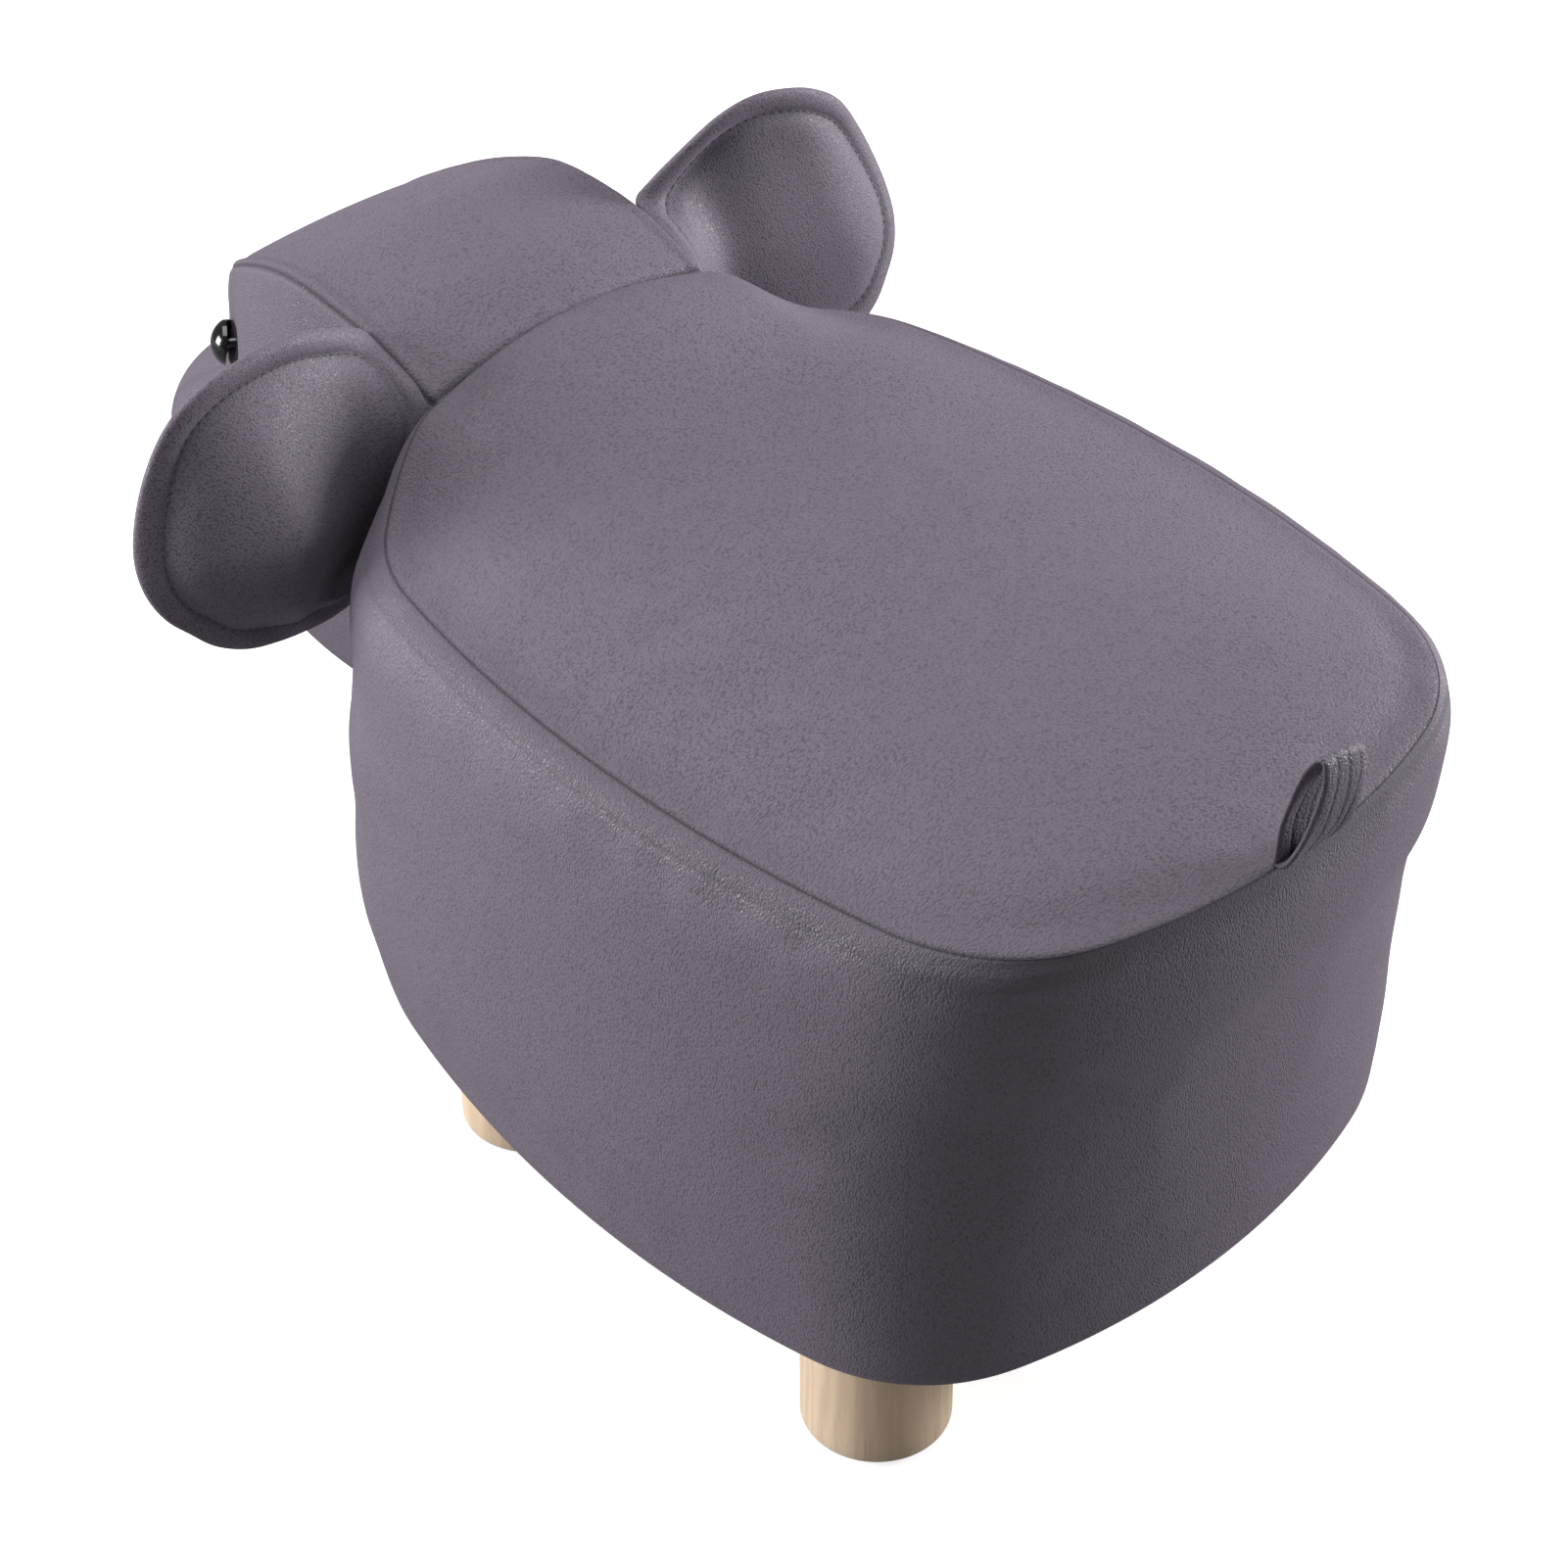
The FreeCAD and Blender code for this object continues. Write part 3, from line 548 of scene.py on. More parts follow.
def spline(keys, places, values):
    """Smooth values between keys, with no overshoot at level stretches."""
    steps = np.diff(keys)
    slopes = np.diff(values, axis=0) / steps[:, None]
    product, total = slopes[:-1] * slopes[1:], slopes[:-1] + slopes[1:]
    inner = np.where(product > 0, 2 * product / np.where(np.abs(total) < 1e-12, 1.0, total), 0.0)
    tangents = np.vstack([slopes[:1], inner, slopes[-1:]])
    index = np.clip(np.searchsorted(keys, places, side="right") - 1, 0, len(keys) - 2)
    share = ((places - keys[index]) / steps[index])[:, None]
    width = steps[index][:, None]
    return (
        (2 * share**3 - 3 * share**2 + 1) * values[index]
        + (share**3 - 2 * share**2 + share) * width * tangents[index]
        + (-2 * share**3 + 3 * share**2) * values[index + 1]
        + (share**3 - share**2) * width * tangents[index + 1]
    )


def along(points):
    """Distance run along a row of points."""
    return np.concatenate([[0.0], np.cumsum(np.linalg.norm(np.diff(points, axis=0), axis=1))])


def at_run(points, places):
    """Points at distances run along a row of points."""
    run = along(points)
    return np.stack([np.interp(places, run, points[:, axis]) for axis in range(points.shape[1])], 1)


def on_run(points, shares):
    """Points at shares of a row's length."""
    return at_run(points, shares * along(points)[-1])


def stepped(length, near, far):
    """Places from 0 to 1, close together near both ends and a wider step apart between."""
    growth = 1.35
    fine = []
    run, step = 0.0, near
    while step < far and run < length / 2:
        fine.append(run)
        run += step
        step *= growth
    count = max(2, round((length - 2 * run) / far))
    middle = list(np.linspace(run, length - run, count + 1))
    return np.array(fine + middle + [length - value for value in reversed(fine)]) / length


def arc(first, middle, last, count):
    """Points on the arc through three plan points, without the last."""
    first, middle, last = (np.array(point, float) for point in (first, middle, last))
    u, v = middle - first, last - first
    twice = 2 * (u[0] * v[1] - u[1] * v[0])
    centre = first + np.array([v[1] * (u @ u) - u[1] * (v @ v), u[0] * (v @ v) - v[0] * (u @ u)]) / twice
    radius = np.linalg.norm(first - centre)
    turns = [math.atan2(*(point - centre)[::-1]) for point in (first, middle, last)]
    for index in (1, 2):
        turned = (turns[index] - turns[index - 1] + math.pi) % (2 * math.pi) - math.pi
        turns[index] = turns[index - 1] + turned
    angles = np.linspace(turns[0], turns[2], count + 1)[:-1]
    return centre + radius * np.stack([np.cos(angles), np.sin(angles)], 1)


# ---------------------------------------------------------------- seat and side band


# A corner circle's centre lies this many corner radii in from the side and from the end
IN_FROM_SIDE, IN_FROM_END = 1.16, 1.13
# Lengths of the seam's sides and ends, and the finest and widest steps along them, in millimetres
SIDE_RUN, END_RUN = 330.0, 235.0
NEAR_STEP, FAR_STEP = 1.1, 5.5
# Length of the side band from the tuck under the frame up to the seam
BAND_RUN = 262.0
# Mean distance of the seam from the body's middle, which turns angles into lengths
SEAM_REACH = 165.0
# A sewn seam: its depth, the width of its dip and the width of the painted shade along it
SEAM_DEPTH, SEAM_WIDTH, SEAM_LINE = 0.6, 1.1, 0.75


def corner_centre(half_width, half_length, corner):
    """Plan centre of a corner's circle."""
    return half_width - IN_FROM_SIDE * corner, half_length - IN_FROM_END * corner


def outline(half_width, half_length, corner, bow=3.0):
    """The body's rounded plan outline about its own centre, with bowed sides and ends."""
    in_x, in_y = IN_FROM_SIDE * corner, IN_FROM_END * corner
    centre_x, centre_y = corner_centre(half_width, half_length, corner)
    side_radius = (in_x**2 + centre_y**2 - corner**2) / (2 * (in_x - corner))
    end_radius = (in_y**2 + centre_x**2 - corner**2) / (2 * (in_y - corner))
    side = np.array([centre_x - half_width + side_radius, centre_y])
    end = np.array([centre_x, centre_y - half_length + end_radius])
    side, end = side / np.linalg.norm(side), end / np.linalg.norm(end)
    rear, front = side + end, side + np.array([0.0, 1.0])
    rear, front = rear / np.linalg.norm(rear), front / np.linalg.norm(front)
    corner_front = centre_y + corner

    def on_corner(way, sign):
        """The corner's point in one direction, ahead or behind by its sign."""
        return centre_x + corner * way[0], sign * (centre_y + corner * way[1])

    half = [
        (centre_x, -corner_front),
        on_corner(front, -1),
        on_corner(side, -1),
        (half_width, 0.0),
        on_corner(side, 1),
        on_corner(rear, 1),
        on_corner(end, 1),
    ]
    mirrored = [(-x, y) for x, y in reversed(half)]
    plan = half + [(0.0, half_length)] + mirrored + [(0.0, -corner_front - bow)]
    return np.concatenate([arc(plan[i], plan[i + 1], plan[(i + 2) % 16], 60) for i in range(0, 16, 2)])


def radii(points, angles):
    """Distance of a closed outline from its centre at some angles."""
    turned = np.arctan2(points[:, 1], points[:, 0])
    order = np.argsort(turned)
    return np.interp(angles, turned[order], np.linalg.norm(points[order], axis=1), period=2 * math.pi)


def seam_outline():
    """The seam's plan outline."""
    body = sizes("body")
    return outline(body.seam_half_width, body.seam_half_length, body.seam_corner)


def seam_sides():
    """The seam as four runs of plan points from corner to corner, anticlockwise from the front left."""
    body = sizes("body")
    ring = seam_outline()
    centre_x, centre_y = corner_centre(body.seam_half_width, body.seam_half_length, body.seam_corner)
    reach = body.seam_corner * math.sqrt(0.5)
    corners = []
    for x, y in ((1, -1), (1, 1), (-1, 1), (-1, -1)):
        target = np.array([x * (centre_x + reach), y * (centre_y + reach)])
        corners.append(int(np.argmin(np.linalg.norm(ring - target, axis=1))))
    sides = []
    for first, last in zip(corners, corners[1:] + corners[:1]):
        count = (last - first) % len(ring)
        sides.append(ring[[(first + step) % len(ring) for step in range(count + 1)]])
    return sides


def body_places():
    """Places along the seam's sides and along its ends, the same for the seat and the side band."""
    return stepped(SIDE_RUN, NEAR_STEP, FAR_STEP), stepped(END_RUN, NEAR_STEP, FAR_STEP)


def seam_ring(long_places, short_places):
    """Plan points of the seam for the places used along its sides and ends."""
    places = (long_places, short_places, 1 - long_places[::-1], 1 - short_places[::-1])
    return np.concatenate([on_run(side, shares)[:-1] for side, shares in zip(seam_sides(), places)])


def seat_plan(long_places, short_places):
    """Plan points of the seat's panel, spanned between its four sides."""
    left, rear, right, front = seam_sides()
    left, right = on_run(left, long_places), on_run(right[::-1], long_places)
    rear, front = on_run(rear[::-1], short_places), on_run(front, short_places)
    p, q = long_places[:, None, None], short_places[None, :, None]
    corners = (1 - p) * ((1 - q) * right[0] + q * left[0]) + p * ((1 - q) * right[-1] + q * left[-1])
    return (1 - q) * right[:, None] + q * left[:, None] + (1 - p) * front[None] + p * rear[None] - corners


def neck_lift(plan):
    """Rise of the seam and the seat at plan points: the slope and the climb to the neck."""
    body = sizes("body")
    x, y = plan[..., 0], plan[..., 1]
    climb = eased((-y - body.neck_start) / (sizes("head").neck_front - body.neck_start))
    beside = (body.shoulder_half_width - np.abs(x)) / (body.shoulder_half_width - body.neck_half_width)
    middle = np.maximum(0.0, 1 - (x / body.neck_half_width) ** 2)
    return -y * body.seam_slope + climb * (eased(beside) * body.neck_rise + middle * body.neck_crown)


def seat_surface(long_places, short_places):
    """The seat's crowned panel as a grid of points, with each point's distance from the seam."""
    body = sizes("body")
    plan = seat_plan(long_places, short_places)
    edge = seam_outline()
    full = radii(edge, np.arctan2(plan[..., 1], plan[..., 0]))
    share = np.clip(np.linalg.norm(plan, axis=2) / full, 0.0, 1.0)
    height = body.seam_height + body.crown * (1 - share**2.2) + neck_lift(plan)
    swell_height, swell_along, swell_width, swell_edge = 6.0, -112.0, 42.0, 0.45
    height += swell_height * hump(plan[..., 1] - swell_along, swell_width) * eased((1 - share) / swell_edge)
    ring = on_run(np.vstack([edge, edge[:1]]), np.linspace(0.0, 1.0, 2401)[:-1])
    inward = np.array([np.min(np.linalg.norm(row[:, None] - ring[None], axis=2), axis=1) for row in plan])
    inward[[0, -1]] = 0.0
    inward[:, [0, -1]] = 0.0
    return np.dstack([plan, height]), inward


# The side band's outlines, as shares: height over the underside, half width, half length and lean
BAND_STATIONS = (
    (-0.025, 0.954, 0.920, 0.77),
    (0.005, 0.989, 0.955, 0.83),
    (0.087, 1.004, 0.972, 0.97),
    (0.270, 1.019, 0.987, 1.10),
    (0.450, 1.020, 0.987, 0.97),
    (0.600, 1.018, 0.989, 0.80),
    (0.750, 1.009, 0.998, 0.44),
    (0.880, 1.006, 0.996, 0.28),
    (0.945, 0.989, 0.988, 0.20),
    (0.980, 0.958, 0.981, 0.11),
)
# The tuck under the frame, in millimetres: how far in and how far up from the lowest outline
TUCKS = ((15.5, 1.6), (12.0, -0.1), (5.0, -0.2))


def wall_keys():
    """The side band's outlines upwards: height, half width, half length, lean and corner radius."""
    body = sizes("body")
    full = np.array([
        body.seam_height - body.underside, body.wall_half_width, body.wall_half_length, body.wall_lean])
    rows = [(*(full * station + (body.underside, 0, 0, 0)), body.wall_corner) for station in BAND_STATIONS]
    tucks = [np.array(rows[0]) + (up, -inset, -inset, 0.0, -inset) for inset, up in TUCKS]
    top = (body.seam_height, body.seam_half_width, body.seam_half_length, 0.0, body.seam_corner)
    return np.array([*tucks, *rows, top])


def wall_surface(long_places, short_places, levels):
    """The side band as a grid of points, rows upwards, with each point's distance below the seam."""
    body = sizes("body")
    keys = wall_keys()
    run = along(keys[:, :2])
    ring = seam_ring(long_places, short_places)
    angles = np.arctan2(ring[:, 1], ring[:, 0])
    points = []
    for height, width, length, lean, corner in spline(run, run[-1] * levels, keys):
        reach = radii(outline(width, length, corner), angles)
        flat = [reach * np.cos(angles), reach * np.sin(angles) - lean, np.full(len(angles), height)]
        points.append(np.column_stack(flat))
    points = np.array(points)
    if levels[-1] == 1.0:
        points[-1, :, :2] = ring
    flare_top = body.seam_height - 42.0
    low = np.clip((flare_top - points[..., 2]) / (flare_top - body.underside), 0.0, 1.1)
    points[..., 0] *= 1.0 + body.rear_flare * low * points[..., 1] / body.wall_half_length
    share = np.clip((points[..., 2] - body.underside) / (body.seam_height - body.underside), 0.0, 1.0)
    rise, slope = neck_lift(ring), -ring[:, 1] * body.seam_slope
    climb_start = 0.72
    points[..., 2] += slope * share + (rise - slope) * eased((share - climb_start) / (1 - climb_start))
    steps = np.linalg.norm(np.diff(points, axis=0), axis=2)
    below = np.vstack([np.cumsum(steps[::-1], axis=0)[::-1], np.zeros((1, len(ring)))])
    return points, below


def settled_cloth(points, faces, held, spare):
    """Lets a closed skin settle as cloth over its stuffing: its start, its faces and each point's shift."""
    mesh = bpy.data.meshes.new("cloth")
    mesh.from_pydata([tuple(point) for point in points], [], faces)
    skin = linked("cloth", mesh)
    remesh = skin.modifiers.new("remesh", "REMESH")
    remesh.mode = "VOXEL"
    remesh.voxel_size = 0.006
    applied(skin)
    count = len(skin.data.vertices)
    start, moved = np.empty(count * 3), np.empty(count * 3)
    skin.data.vertices.foreach_get("co", start)
    start = start.reshape(-1, 3)
    group = skin.vertex_groups.new(name="held")
    for index, weight in enumerate(held(start)):
        if weight > 0.01:
            group.add([index], float(weight), "REPLACE")
    cloth = skin.modifiers.new("cloth", "CLOTH")
    cloth.settings.quality = 4
    cloth.settings.vertex_group_mass = "held"
    cloth.settings.use_pressure = True
    cloth.settings.uniform_pressure_force = 4.0
    cloth.settings.shrink_min = -spare
    cloth.settings.bending_stiffness = 0.4
    cloth.settings.effector_weights.gravity = 0.0
    cloth.collision_settings.use_collision = False
    scene = bpy.context.scene
    for step in range(1, 21):
        scene.frame_set(step)
    evaluated = skin.evaluated_get(bpy.context.evaluated_depsgraph_get())
    evaluated.data.vertices.foreach_get("co", moved)
    shift = moved.reshape(-1, 3) - start
    polygons = [tuple(polygon.vertices) for polygon in skin.data.polygons]
    bpy.data.objects.remove(skin)
    scene.frame_set(1)
    return start, polygons, shift


@functools.cache
def body_cloth():
    """The settled cloth of the seat and the side band, simulated once."""
    body = sizes("body")
    long_count, short_count = 50, 36
    places = np.linspace(0, 1, long_count), np.linspace(0, 1, short_count)
    band, _ = wall_surface(*places, np.linspace(0.0, 1.0, 40))
    seat, _ = seat_surface(*places)
    rows, columns = band.shape[:2]
    middle = np.array([[0.0, 0.0, body.underside]])
    points = to_row(np.vstack([band.reshape(-1, 3), seat.reshape(-1, 3), middle]))
    faces = grid_faces(rows, columns, True)
    faces += [face[::-1] for face in grid_faces(long_count, short_count, False, rows * columns)]
    faces += [((column + 1) % columns, column, len(points) - 1) for column in range(columns)]
    ring = to_row(band[-1])

    def held(start):
        """Which points are sewn to the seam or stapled under the frame."""
        gap = np.array([np.min(np.linalg.norm(ring - point, axis=1)) for point in start])
        low = body.underside * MM + 0.016
        return np.maximum(eased((0.010 - gap) / 0.006), start[:, 2] < low)

    return settled_cloth(points, faces, held, 0.022)


def cloth_relief(points, normals, closed):
    """The settled cloth's wrinkles on a grid of points, without the cloth's overall swelling."""
    start, polygons, shift = body_cloth()
    tree = BVHTree.FromPolygons([Vector(point) for point in start], polygons)
    relief = np.zeros(points.shape[:2])
    metres = to_row(points)
    for place in np.ndindex(relief.shape):
        spot, _, face, _ = tree.find_nearest(Vector(metres[place]))
        corners = list(polygons[face])
        gaps = np.linalg.norm(start[corners] - np.array(spot), axis=1) + 1e-5
        weights = 1 / gaps**2
        moved = (shift[corners] * weights[:, None]).sum(axis=0) / weights.sum()
        relief[place] = moved @ normals[place] / MM
    fine = broad = np.clip(relief, -12.0, 12.0)
    for _ in range(90):
        wide = np.pad(broad, 1, mode="edge")
        if closed:
            wide[:, 0], wide[:, -1] = wide[:, -2], wide[:, 1]
        broad = (wide[:-2, 1:-1] + wide[2:, 1:-1] + wide[1:-1, :-2] + wide[1:-1, 2:]) / 4
    share, most = 0.3, 1.4
    return np.clip(share * (fine - broad), -most, most)


def puckers(run, gap, reach, height):
    """Small irregular gathers beside a seam."""
    waves = np.sin(run / 5.3 + 2.1 * np.sin(run / 31.0)) + 0.6 * np.sin(run / 3.1 + 1.3)
    patchy = 0.35 + 0.65 * eased(0.5 + 0.5 * np.sin(run / 47.0 + 0.8))
    return height * waves * patchy * hump(gap - reach * 0.35, reach * 0.6)


def round_run(points):
    """Distance round the body at each point."""
    return np.arctan2(points[..., 1], points[..., 0]) * SEAM_REACH


class SeatPanel(bpy.types.Operator):
    """Makes the crowned, padded seat panel"""

    bl_idname = "footstool.seat_panel"
    bl_label = "Seat panel"

    def execute(self, context):
        points, inward = seat_surface(*body_places())
        normals = -grid_normals(points, False)
        normals[normals[..., 2] < 0] *= -1
        points = pushed(points, normals, cloth_relief(points, normals, False) * eased(inward / 9.0))
        gathers = puckers(round_run(points), inward, 14.0, 0.22)
        points = pushed(points, normals, gathers * eased(inward / 4.0))
        normals[inward == 0.0] = (0.0, 0.0, 1.0)
        points = pushed(points, normals, -SEAM_DEPTH * hump(inward, SEAM_WIDTH))
        # Marks for painted shade along the seam, and for painted shade with more gloss on the seat's edge
        # beside it
        marks = {"seam": hump(inward, SEAM_LINE), "roll": 0.35 * hump(inward - 6.0, 9.0)}
        faces = grid_faces(*points.shape[:2], False)
        piece = cover("seat_panel", points, faces, "suede", marks, closed=False)
        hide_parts("seat_cover", "seat_foam")
        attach(piece, "stool")
        return {"FINISHED"}


class SideBand(bpy.types.Operator):
    """Makes the padded band round the sides, tucked under the frame"""

    bl_idname = "footstool.side_band"
    bl_label = "Side band"

    def execute(self, context):
        body = sizes("body")
        near_seam = np.array([
            29, 25, 21, 18, 16, 14.6, 13.4, 12.5, 11.6, 10.4, 8.6, 6.4, 4.6, 3.3, 2.2, 1.2, 0.5, 0.0])
        levels = np.concatenate([
            np.linspace(0.0, 0.12, 9)[:-1], np.linspace(0.12, 0.88, 34)[:-1], 1 - near_seam / BAND_RUN])
        points, below = wall_surface(*body_places(), levels)
        normals = grid_normals(points, True)
        normals[-1] = (0.0, 0.0, 1.0)
        foot = eased((points[..., 2] - body.underside - 6.0) / 20.0)
        relief = cloth_relief(points, normals, True) * eased(below / 10.0) * foot
        points = pushed(points, normals, relief)
        gathers = puckers(round_run(points) + 9.0, below - body.topstitch_drop, 12.0, 0.2)
        points = pushed(points, normals, gathers * eased((below - 12.0) / 6.0))
        groove = below - body.topstitch_drop
        puff = 0.35 * hump(below - 6.0, 4.0)
        dip = puff - SEAM_DEPTH * hump(below, SEAM_WIDTH) - 0.3 * hump(groove, 1.3)
        # Marks for painted shade along the seam and the topstitch groove, and for painted shade with more
        # gloss on the roll below the seam
        seam = hump(below, SEAM_LINE) + 0.12 * hump(groove, 0.9)
        marks = {"seam": seam, "roll": 0.7 * hump(below - 8.0, 10.0)}
        faces = grid_faces(*points.shape[:2], True)
        piece = cover("side_band", pushed(points, normals, dip), faces, "band_suede", marks, closed=False)
        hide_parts("side_cover", "side_foam")
        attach(piece, "stool")
        return {"FINISHED"}


# ---------------------------------------------------------------- head and trunk


# The head's outlines forwards, as shares: reach, half width and height of the top seam, rise of the top
# over it, half width of the side, half width and height of the chin seam, height of the chin
HEAD_STATIONS = np.array((
    (-0.056, 0.87, 0.857, 0.052, 0.99, 0.80, 0.065, 0.015),
    (0.022, 0.88, 0.888, 0.052, 0.99, 0.81, 0.055, 0.010),
    (0.211, 0.88, 0.946, 0.043, 1.00, 0.86, 0.030, -0.020),
    (0.433, 0.86, 0.961, 0.034, 1.00, 0.86, 0.035, -0.010),
    (0.600, 0.79, 0.924, 0.026, 0.97, 0.82, 0.035, -0.010),
    (0.767, 0.685, 0.852, 0.019, 0.885, 0.71, 0.07, 0.020),
    (0.878, 0.60, 0.79, 0.012, 0.76, 0.59, 0.12, 0.090),
    (0.966, 0.43, 0.72, 0.009, 0.55, 0.41, 0.19, 0.170),
    (1.014, 0.21, 0.66, 0.005, 0.28, 0.20, 0.26, 0.255),
))
# The head's outlines nearest the neck seam, as shares of its reach
NECK_SHARES = (-0.012, -0.006, 0.0, 0.006, 0.012, 0.02)
# Height of the head's widest line, as a share of its height
SIDE_SHARE = 0.46
# The dimples round the eyes: the left one's place, its depth and its width
EYE_PLACE, EYE_DEPTH, EYE_WIDTH = (58.0, -344.0, 261.0), 8.0, 19.0


def arc_shares(first, middle, last, shares):
    """Points on the arc through three points, at shares of it."""
    return on_run(np.vstack([arc(first, middle, last, 80), [last]]), shares)


def head_section(station, top_places, side_places, low_places):
    """One outline of the head from its left top seam over the top, down the right side and back."""
    head = sizes("head")
    _, top_width, seam, above, side_width, low_width, low, bottom = station
    top_x, side_x, low_x = (head.half_width * share for share in (top_width, side_width, low_width))
    seam_z, side_z, low_z, bottom_z = (
        head.underside + head.height * share for share in (seam, SIDE_SHARE, low, bottom))
    crest = (0, seam_z + head.height * above)
    top = arc_shares((top_x, seam_z), crest, (-top_x, seam_z), top_places)
    right = arc_shares((-top_x, seam_z), (-side_x, side_z), (-low_x, low_z), side_places)
    under = arc_shares((-low_x, low_z), (0, bottom_z), (low_x, low_z), low_places)
    left = arc_shares((low_x, low_z), (side_x, side_z), (top_x, seam_z), 1 - side_places[::-1])
    return np.vstack([top[:-1], right[:-1], under[:-1], left[:-1]])


def head_surface():
    """The stuffed head as rows of points forwards.

    With it come each point's distances from the top and the chin seams, the columns that lie on the top,
    and the column of the right top seam.
    """
    head = sizes("head")
    top_places, side_places = stepped(150.0, 1.1, 5.0), stepped(185.0, 1.1, 5.0)
    low_places = stepped(140.0, 2.5, 5.0)
    reach = np.concatenate([
        np.linspace(-0.056, -0.012, 5)[:-1], NECK_SHARES,
        np.linspace(0.03, 0.90, 34), np.linspace(0.915, 1.014, 10)])
    rows = []
    for station in spline(HEAD_STATIONS[:, 0], reach, HEAD_STATIONS):
        section = head_section(station, top_places, side_places, low_places)
        ahead = np.full(len(section), -head.neck_front - station[0] * head.reach)
        rows.append(np.column_stack([section[:, 0], ahead, section[:, 1]]))
    points = np.array(rows)
    top = len(top_places) - 1
    right_low = top + len(side_places) - 1
    left_low = right_low + len(low_places) - 1
    seams = points[:, [0, top]].copy()
    for _ in range(22):
        points = 0.5 * points + 0.25 * (np.roll(points, 1, 1) + np.roll(points, -1, 1))
        points[:, [0, top]] = seams
    for _ in range(3):
        points[1:-1] = 0.5 * points[1:-1] + 0.25 * (points[:-2] + points[2:])
    steps = np.linalg.norm(np.roll(points, -1, 1) - points, axis=2)
    run = np.hstack([np.zeros((len(points), 1)), np.cumsum(steps, axis=1)[:, :-1]])
    gaps = [np.abs(run - run[:, [column]]) for column in (top, right_low, left_low)]
    seam_gap = np.minimum(np.minimum(run, steps.sum(axis=1, keepdims=True) - run), gaps[0])
    return points, seam_gap, np.minimum(gaps[1], gaps[2]), np.arange(points.shape[1]) < top, top


class Head(bpy.types.Operator):
    """Makes the stuffed head with its top and chin seams"""

    bl_idname = "footstool.head"
    bl_label = "Head"

    def execute(self, context):
        head = sizes("head")
        points, seam_gap, chin_gap, on_top, _ = head_surface()
        normals = -grid_normals(points, True)
        outward = np.sum(normals * (points - points.mean(axis=1, keepdims=True)), axis=2)
        normals = -normals if outward.mean() < 0 else normals
        along_head = points[..., 1]
        ahead = np.abs(-along_head - head.neck_front)
        inset = head.topstitch_inset
        stitched = 0.9 * hump(seam_gap - inset * 0.5, 1.7) - 0.7 * hump(seam_gap - inset, 0.9)
        chin = 1.1 * hump(chin_gap, 1.4) + 0.5 * hump(chin_gap - 6.0, 1.0)
        neck = np.where(on_top, 1.0, 0.3) * (0.4 * hump(ahead - 5.0, 3.0) - 1.3 * hump(ahead, 1.7))
        front = eased((-along_head - head.neck_front - 95.0) / 60.0)
        waves = np.sin(-along_head * 0.46 + 1.4 * np.sin(along_head * 0.11))
        gathers = waves * hump(seam_gap - 9.0, 11.0) * np.where(on_top, 0.12, 0.75) * (0.3 + 0.9 * front)
        dip = np.where(on_top, stitched, 0.0) + neck + gathers - chin - 1.0 * hump(seam_gap, 1.2)
        for mirror in (1.0, -1.0):
            eye = np.array(EYE_PLACE) * (mirror, 1.0, 1.0)
            dip -= EYE_DEPTH * hump(np.linalg.norm(points - eye, axis=2), EYE_WIDTH)
        moved = pushed(points, normals, dip)
        rows, columns = points.shape[:2]
        tip = moved[-1].mean(axis=0) + (0.0, -1.2, 0.0)
        faces = [face[::-1] for face in grid_faces(rows, columns, True)]
        faces += fan_faces(rows * columns, (rows - 1) * columns, columns)
        # Marks for painted shade along the top, chin and neck seams, and for painted shade with more gloss on
        # the head below its top seams and, more lightly, on the top beside them
        seam = hump(seam_gap, SEAM_LINE) + 0.8 * hump(chin_gap, 0.8) + np.where(on_top, hump(ahead, 1.2), 0.0)
        roll = np.where(on_top, 0.35 * hump(seam_gap, 16.0), 0.85 * eased((seam_gap - 0.5) / 4.0))
        marks = {"seam": np.append(seam, 0.0), "roll": np.append(roll, 0.85)}
        piece = cover("head", np.vstack([moved.reshape(-1, 3), tip]), faces, "suede", marks)
        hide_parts("head_top_panel", "head_face_band", "head_filling")
        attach(piece, "stool")
        return {"FINISHED"}


# The trunk's middle line as shares: how far ahead, how far down, and its radius
TRUNK_STATIONS = np.array((
    (0.00, 0.000, 1.00), (0.19, 0.085, 0.98), (0.37, 0.180, 0.94), (0.53, 0.265, 0.88), (0.66, 0.335, 0.83),
    (0.81, 0.405, 0.77), (0.93, 0.480, 0.72), (0.98, 0.570, 0.68), (1.00, 0.670, 0.64), (1.00, 0.820, 0.58),
    (1.00, 0.930, 0.48), (1.00, 0.980, 0.33), (1.00, 1.000, 0.13),
))
# The trunk's two seams lie at these turns about its middle line, in degrees
TRUNK_SEAMS = (38.0, 142.0)


